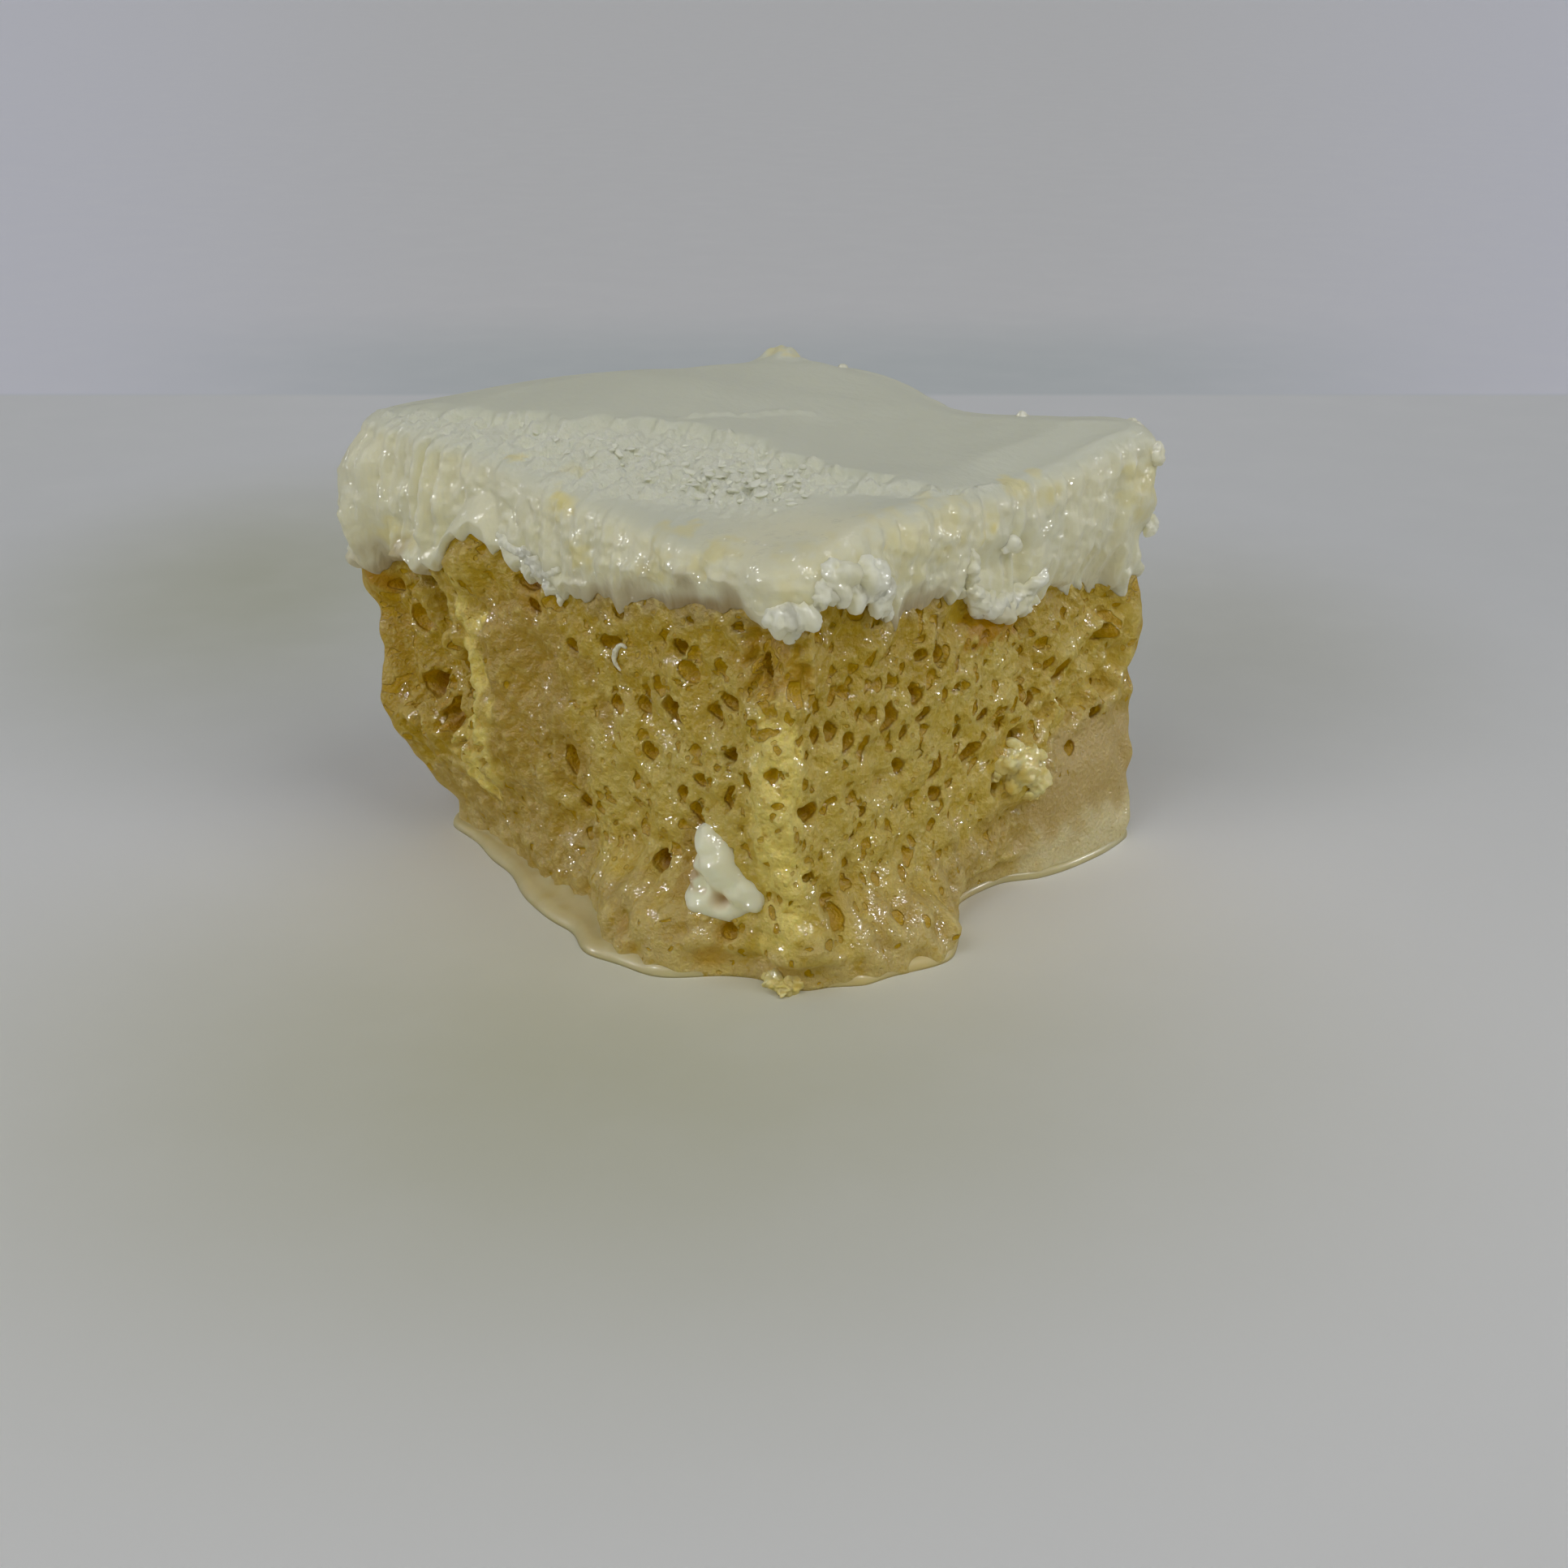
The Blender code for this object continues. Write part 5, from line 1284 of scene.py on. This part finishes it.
# The dab: frosting that fell and stuck low on the -Y side, in soft lobes run into one another. Its front is
# a field of round bells, cut off at one level, and it stands off the crumb by the root of what is left.
DAB_LOBES = (  # x, height, radius
    (20.3, 15.3, 1.5), (21.4, 14.1, 1.8), (22.5, 12.9, 2.0), (22.8, 11.4, 1.9), (23.0, 10.0, 1.9),
    (25.3, 10.0, 1.4), (26.7, 9.2, 1.6), (23.9, 7.4, 1.5), (19.9, 8.7, 1.6), (21.4, 7.7, 1.5),
    (19.5, 10.2, 1.2), (20.0, 11.6, 1.2),
)
DAB_SIDE_START = -38.6  # x where the -Y side starts
DAB_SIDE_LENGTH = 70.4
DAB_MIDDLE = (22.5, 10.9)
DAB_REACH = 8.0
DAB_LEVEL = 0.56  # of the field, at the outline
DAB_THICK = 1.9
DAB_DEEP = 1.4  # how far behind its edge its back lies, inside the crumb
DAB_HOLE = (23.2, 9.0, 1.0, 1.0)  # x, height, radius and depth of the dimple with crumb in it
DAB_TAN_EDGE = (21.1, 8.8, 13.4)  # crumb shows left of this x, between these two heights
DAB_FACE = -32.0  # y of the side that it sticks to
DAB_AROUND = 120
DAB_RINGS = 34
DAB_WHITE = (0.98, 0.955, 0.68)
DAB_TAN = (0.56, 0.38, 0.16)


def dab_field(x, z):
    """Sum of round bells over the lobes."""
    ragged = ripple(np.stack([x, 0.0 * x, z], axis=-1), 2.0, 110)
    bells = sum(np.exp(-((x - a) ** 2 + (z - b) ** 2) / wide**2) for a, b, wide in DAB_LOBES)
    return bells * (1.0 + 0.08 * ragged)


angle = 2.0 * np.pi * np.arange(DAB_AROUND) / DAB_AROUND
near, far = np.zeros(DAB_AROUND), np.full(DAB_AROUND, DAB_REACH)
for _ in range(30):  # halves the stretch that holds the outline
    middle = (near + far) / 2.0
    field = dab_field(DAB_MIDDLE[0] + middle * np.cos(angle), DAB_MIDDLE[1] + middle * np.sin(angle))
    near, far = np.where(field > DAB_LEVEL, middle, near), np.where(field > DAB_LEVEL, far, middle)
out_share = np.sin(np.linspace(0.0, np.pi / 2.0, DAB_RINGS + 1)[:0:-1])
x = (DAB_MIDDLE[0] + out_share[:, None] * near * np.cos(angle)).ravel()
z = (DAB_MIDDLE[1] + out_share[:, None] * near * np.sin(angle)).ravel()
field = np.maximum(dab_field(x, z) - DAB_LEVEL, 0.0)
u_dab = 3.0 + (x - DAB_SIDE_START) / DAB_SIDE_LENGTH
flat = np.column_stack([x, np.full(len(x), DAB_FACE), z])
stand = DAB_THICK * np.sqrt(field) * (1.0 + 0.06 * (1.5 * np.sqrt(ripple(flat, 3.4, 111) ** 2 + 0.06) - 1.2))
hole_x, hole_z, hole_wide, hole_deep = DAB_HOLE
in_hole = np.exp(-(((x - hole_x) ** 2 + (z - hole_z) ** 2) / hole_wide**2))
stand -= hole_deep * in_hole
skin_plan = sponge_wall(u_dab, z)
front = np.column_stack([x, skin_plan[:, 1] - stand - 0.15, z])
back = front[:DAB_AROUND] + (0.0, DAB_DEEP, 0.0)
back_middle = (DAB_MIDDLE[0], skin_plan[0, 1] + DAB_DEEP, DAB_MIDDLE[1])
points = np.concatenate([back, front, [back_middle], [front[-DAB_AROUND:].mean(axis=0)]])
total = (DAB_RINGS + 1) * DAB_AROUND
edge_x, edge_low, edge_high = DAB_TAN_EDGE
left_edge = smooth_step((edge_x - x + 0.4 * ripple(flat, 2.0, 113)) / 1.2)
left_edge *= smooth_step((z - edge_low) / 1.2) * smooth_step((edge_high - z) / 1.2)
dab_tan = np.concatenate([np.zeros(DAB_AROUND), np.maximum(in_hole, 0.9 * left_edge), [0.0, 0.0]])
groups = [ring_quads(DAB_RINGS + 1, DAB_AROUND), fan(0, DAB_AROUND, total, False)]
groups.append(fan(DAB_RINGS * DAB_AROUND, DAB_AROUND, total + 1, True))
dab_mesh = make_mesh("dab", points, groups, {"tan": dab_tan})
dab_look, tree, shader = new_material("dab frosting")
texture = use_grain(tree, 1.0)
tree.links.new(mix(tree, mask_of(tree, "tan"), DAB_WHITE, DAB_TAN), shader.inputs["Base Color"])
roughen(tree, shader, texture.outputs["Height"], distance=0.15, strength=0.4)
use_sparkle(tree, shader, 0.5)
make_wet(shader, roughness=0.6, coat=0.25, coat_roughness=0.16, spread=0.5, reach=(1.6, 1.4, 1.0))
add_piece("dab", dab_mesh, dab_look, "frosting", "cream_dab")


# Stuck crumbs: a clump of pale crumb on the +X side and a few crumbs that overhang the near corner's foot.
# They are torn bits of the soaked sponge, and each is a dented ball.
CLUMP = (  # y, height, how far off the wall, radius
    (7.6, 15.4, 0.3, 2.2), (5.7, 16.2, 0.3, 1.3), (9.6, 16.2, 0.3, 1.4), (9.3, 13.4, 0.7, 1.5),
    (6.4, 13.6, 0.3, 1.1), (7.8, 17.4, 0.2, 1.1), (10.6, 14.6, 0.3, 1.0), (9.2, 11.8, 0.5, 0.9),
    (4.6, 14.6, 0.0, 0.9),
)
FOOT_CRUMBS = (  # middle, half sizes
    ((30.9, -31.7, 0.9), (1.5, 1.3, 0.9)), ((29.2, -31.5, 0.7), (1.2, 0.8, 0.7)),
    ((32.0, -30.7, 0.8), (0.9, 1.1, 0.7)), ((31.6, -32.4, 0.5), (0.6, 0.6, 0.5)),
)
CLUMP_SIDE_START = -31.4  # y where the +X side starts
CLUMP_SIDE_LENGTH = 62.8
CLUMP_SINK = 0.4  # how far the crumbs are pressed in
CLUMP_COLOUR = (0.98, 0.86, 0.40)
CLUMP_SHADE = (0.80, 0.60, 0.13)
CLUMP_DENTS = ((2.6, 0.35, 131), (1.3, -0.14, 132), (0.7, -0.08, 133))

spot = np.array(CLUMP)
u_spot = (spot[:, 0] - CLUMP_SIDE_START) / CLUMP_SIDE_LENGTH
plan = sponge_wall(u_spot, spot[:, 1]) + outward(u_spot) * (spot[:, 2] - CLUMP_SINK)[:, None]
clump_halves = np.repeat(spot[:, 3:], 3, axis=1)
clump = balls(ring(plan, spot[:, 1]), clump_halves, rows=22, around=32, waves=CLUMP_DENTS)
foot_middles, foot_halves = zip(*FOOT_CRUMBS)
foot_bits = balls(foot_middles, foot_halves, rows=22, around=32, waves=CLUMP_DENTS)
points, groups = joined([clump, foot_bits])
points[:, 2] = np.maximum(points[:, 2], 0.0)
clump_mesh = make_mesh("crumb_clump", points, groups)
clump_look = bit_look("pale crumb", 0.8, CLUMP_SHADE, CLUMP_COLOUR, (0.3, 0.7), 0.5, roughness=0.6,
                      coat=0.35, coat_roughness=0.16, spread=0.3, reach=(1.3, 0.9, 0.3))
add_piece("crumb_clump", clump_mesh, clump_look, "sponge")


# The milk: sweetened milk that ran out of the sponge and stands round its foot. A closed ring: flat on the
# table, a rounded lip, and a film that climbs a little way up the crumb.
MILK_REACH = (  # u and how far the milk has run out there
    (0.0, 1.0), (0.1, 2.8), (0.17, 3.3), (0.28, 5.4), (0.35, 4.9), (0.4, 3.9), (0.46, 1.9), (0.51, 1.1),
    (0.64, 1.0), (0.72, 1.2), (0.87, 1.4), (1.0, 1.0), (1.12, 2.6), (1.3, 2.2), (1.5, 5.2), (1.7, 2.6),
    (1.95, 3.6), (2.2, 2.4), (2.45, 5.0), (2.7, 2.8), (2.9, 3.0), (3.0, 1.5), (3.1, 1.8), (3.2, 3.5),
    (3.3, 3.9), (3.4, 5.2), (3.5, 6.2), (3.6, 5.6), (3.7, 4.4), (3.78, 3.6), (3.84, 2.2), (3.9, 1.1),
)
MILK_COLUMNS = 600
MILK_DEPTH = 1.4
MILK_CLIMB = 5.0  # how far the film reaches up the crumb
MILK_UNDER = 1.0  # how far the ring reaches in under the cake
MILK_LIP = 1.5  # most width of its rounded lip
MILK_SINK = 0.7  # how far the film's upper edge lies inside the crumb
MILK_COLOUR = (0.686, 0.585, 0.298)
MILK_THIN_COLOUR = (0.634, 0.531, 0.25)
MILK_LAYERS = (("tan", (0.75, 0.58, 0.23)), ("film", SPONGE_SOAKED))
MILK_TAN_PLACE = (0.27, 0.31)  # u, half width

u_line = np.arange(MILK_COLUMNS) * 4.0 / MILK_COLUMNS
normal = outward(u_line)
inner = sponge_wall(u_line, np.zeros_like(u_line))
reach = np.maximum(round_curve(MILK_REACH, u_line), 1.0)
depth = MILK_DEPTH * np.minimum(0.45 + reach / 6.0, 1.0)
lip = np.minimum(reach * 0.45, MILK_LIP)
climb = MILK_CLIMB * (0.5 + 0.5 * np.minimum(reach / 4.0, 1.0))
section = [(-MILK_UNDER + 0.0 * reach, 0.0 * reach), (reach, 0.0 * reach)]
for turn in np.radians(np.linspace(12.0, 90.0, 7)):
    section.append((reach - lip * (1.0 - np.cos(turn)), depth * np.sin(turn)))
start = reach - lip
for share in np.linspace(0.08, 1.0, 12):
    section.append((start * (1.0 - share) - MILK_SINK * share, depth + climb * share**2.5))
rings = [ring(inner + normal * out[:, None], height) for out, height in section]
count = len(rings)
quads = ring_quads(count + 1, MILK_COLUMNS) % (count * MILK_COLUMNS)
points = np.concatenate(rings)
film = smooth_step((points[:, 2] - np.tile(depth, count) + 0.3 * ripple(points, 3.0, 121)) / 2.2)
crumpled = np.tile(normal, (count, 1)) * (0.25 * film * ripple(points, 2.4, 122))[:, None]
points += ring(crumpled, 0.0 * film)
place, half = MILK_TAN_PLACE
tan = np.exp(-((along_side(np.tile(u_line, count), place) / half) ** 6))
milk_mesh = make_mesh("milk_pool", points, [quads], {"film": film, "tan": tan})
milk_look, tree, shader = new_material("run-out milk")
texture = use_grain(tree, 4.0)
colour = mix(tree, texture.outputs["Mottle"], MILK_COLOUR, MILK_THIN_COLOUR)
tree.links.new(lay_on(tree, colour, MILK_LAYERS), shader.inputs["Base Color"])
roughen(tree, shader, texture.outputs["Height"], distance=0.1, strength=0.3)
make_wet(shader, roughness=0.5, coat=0.03, coat_roughness=0.2, spread=0.4, reach=(2.0, 1.5, 0.8))
add_piece("milk_pool", milk_mesh, milk_look, "milk", "milk")
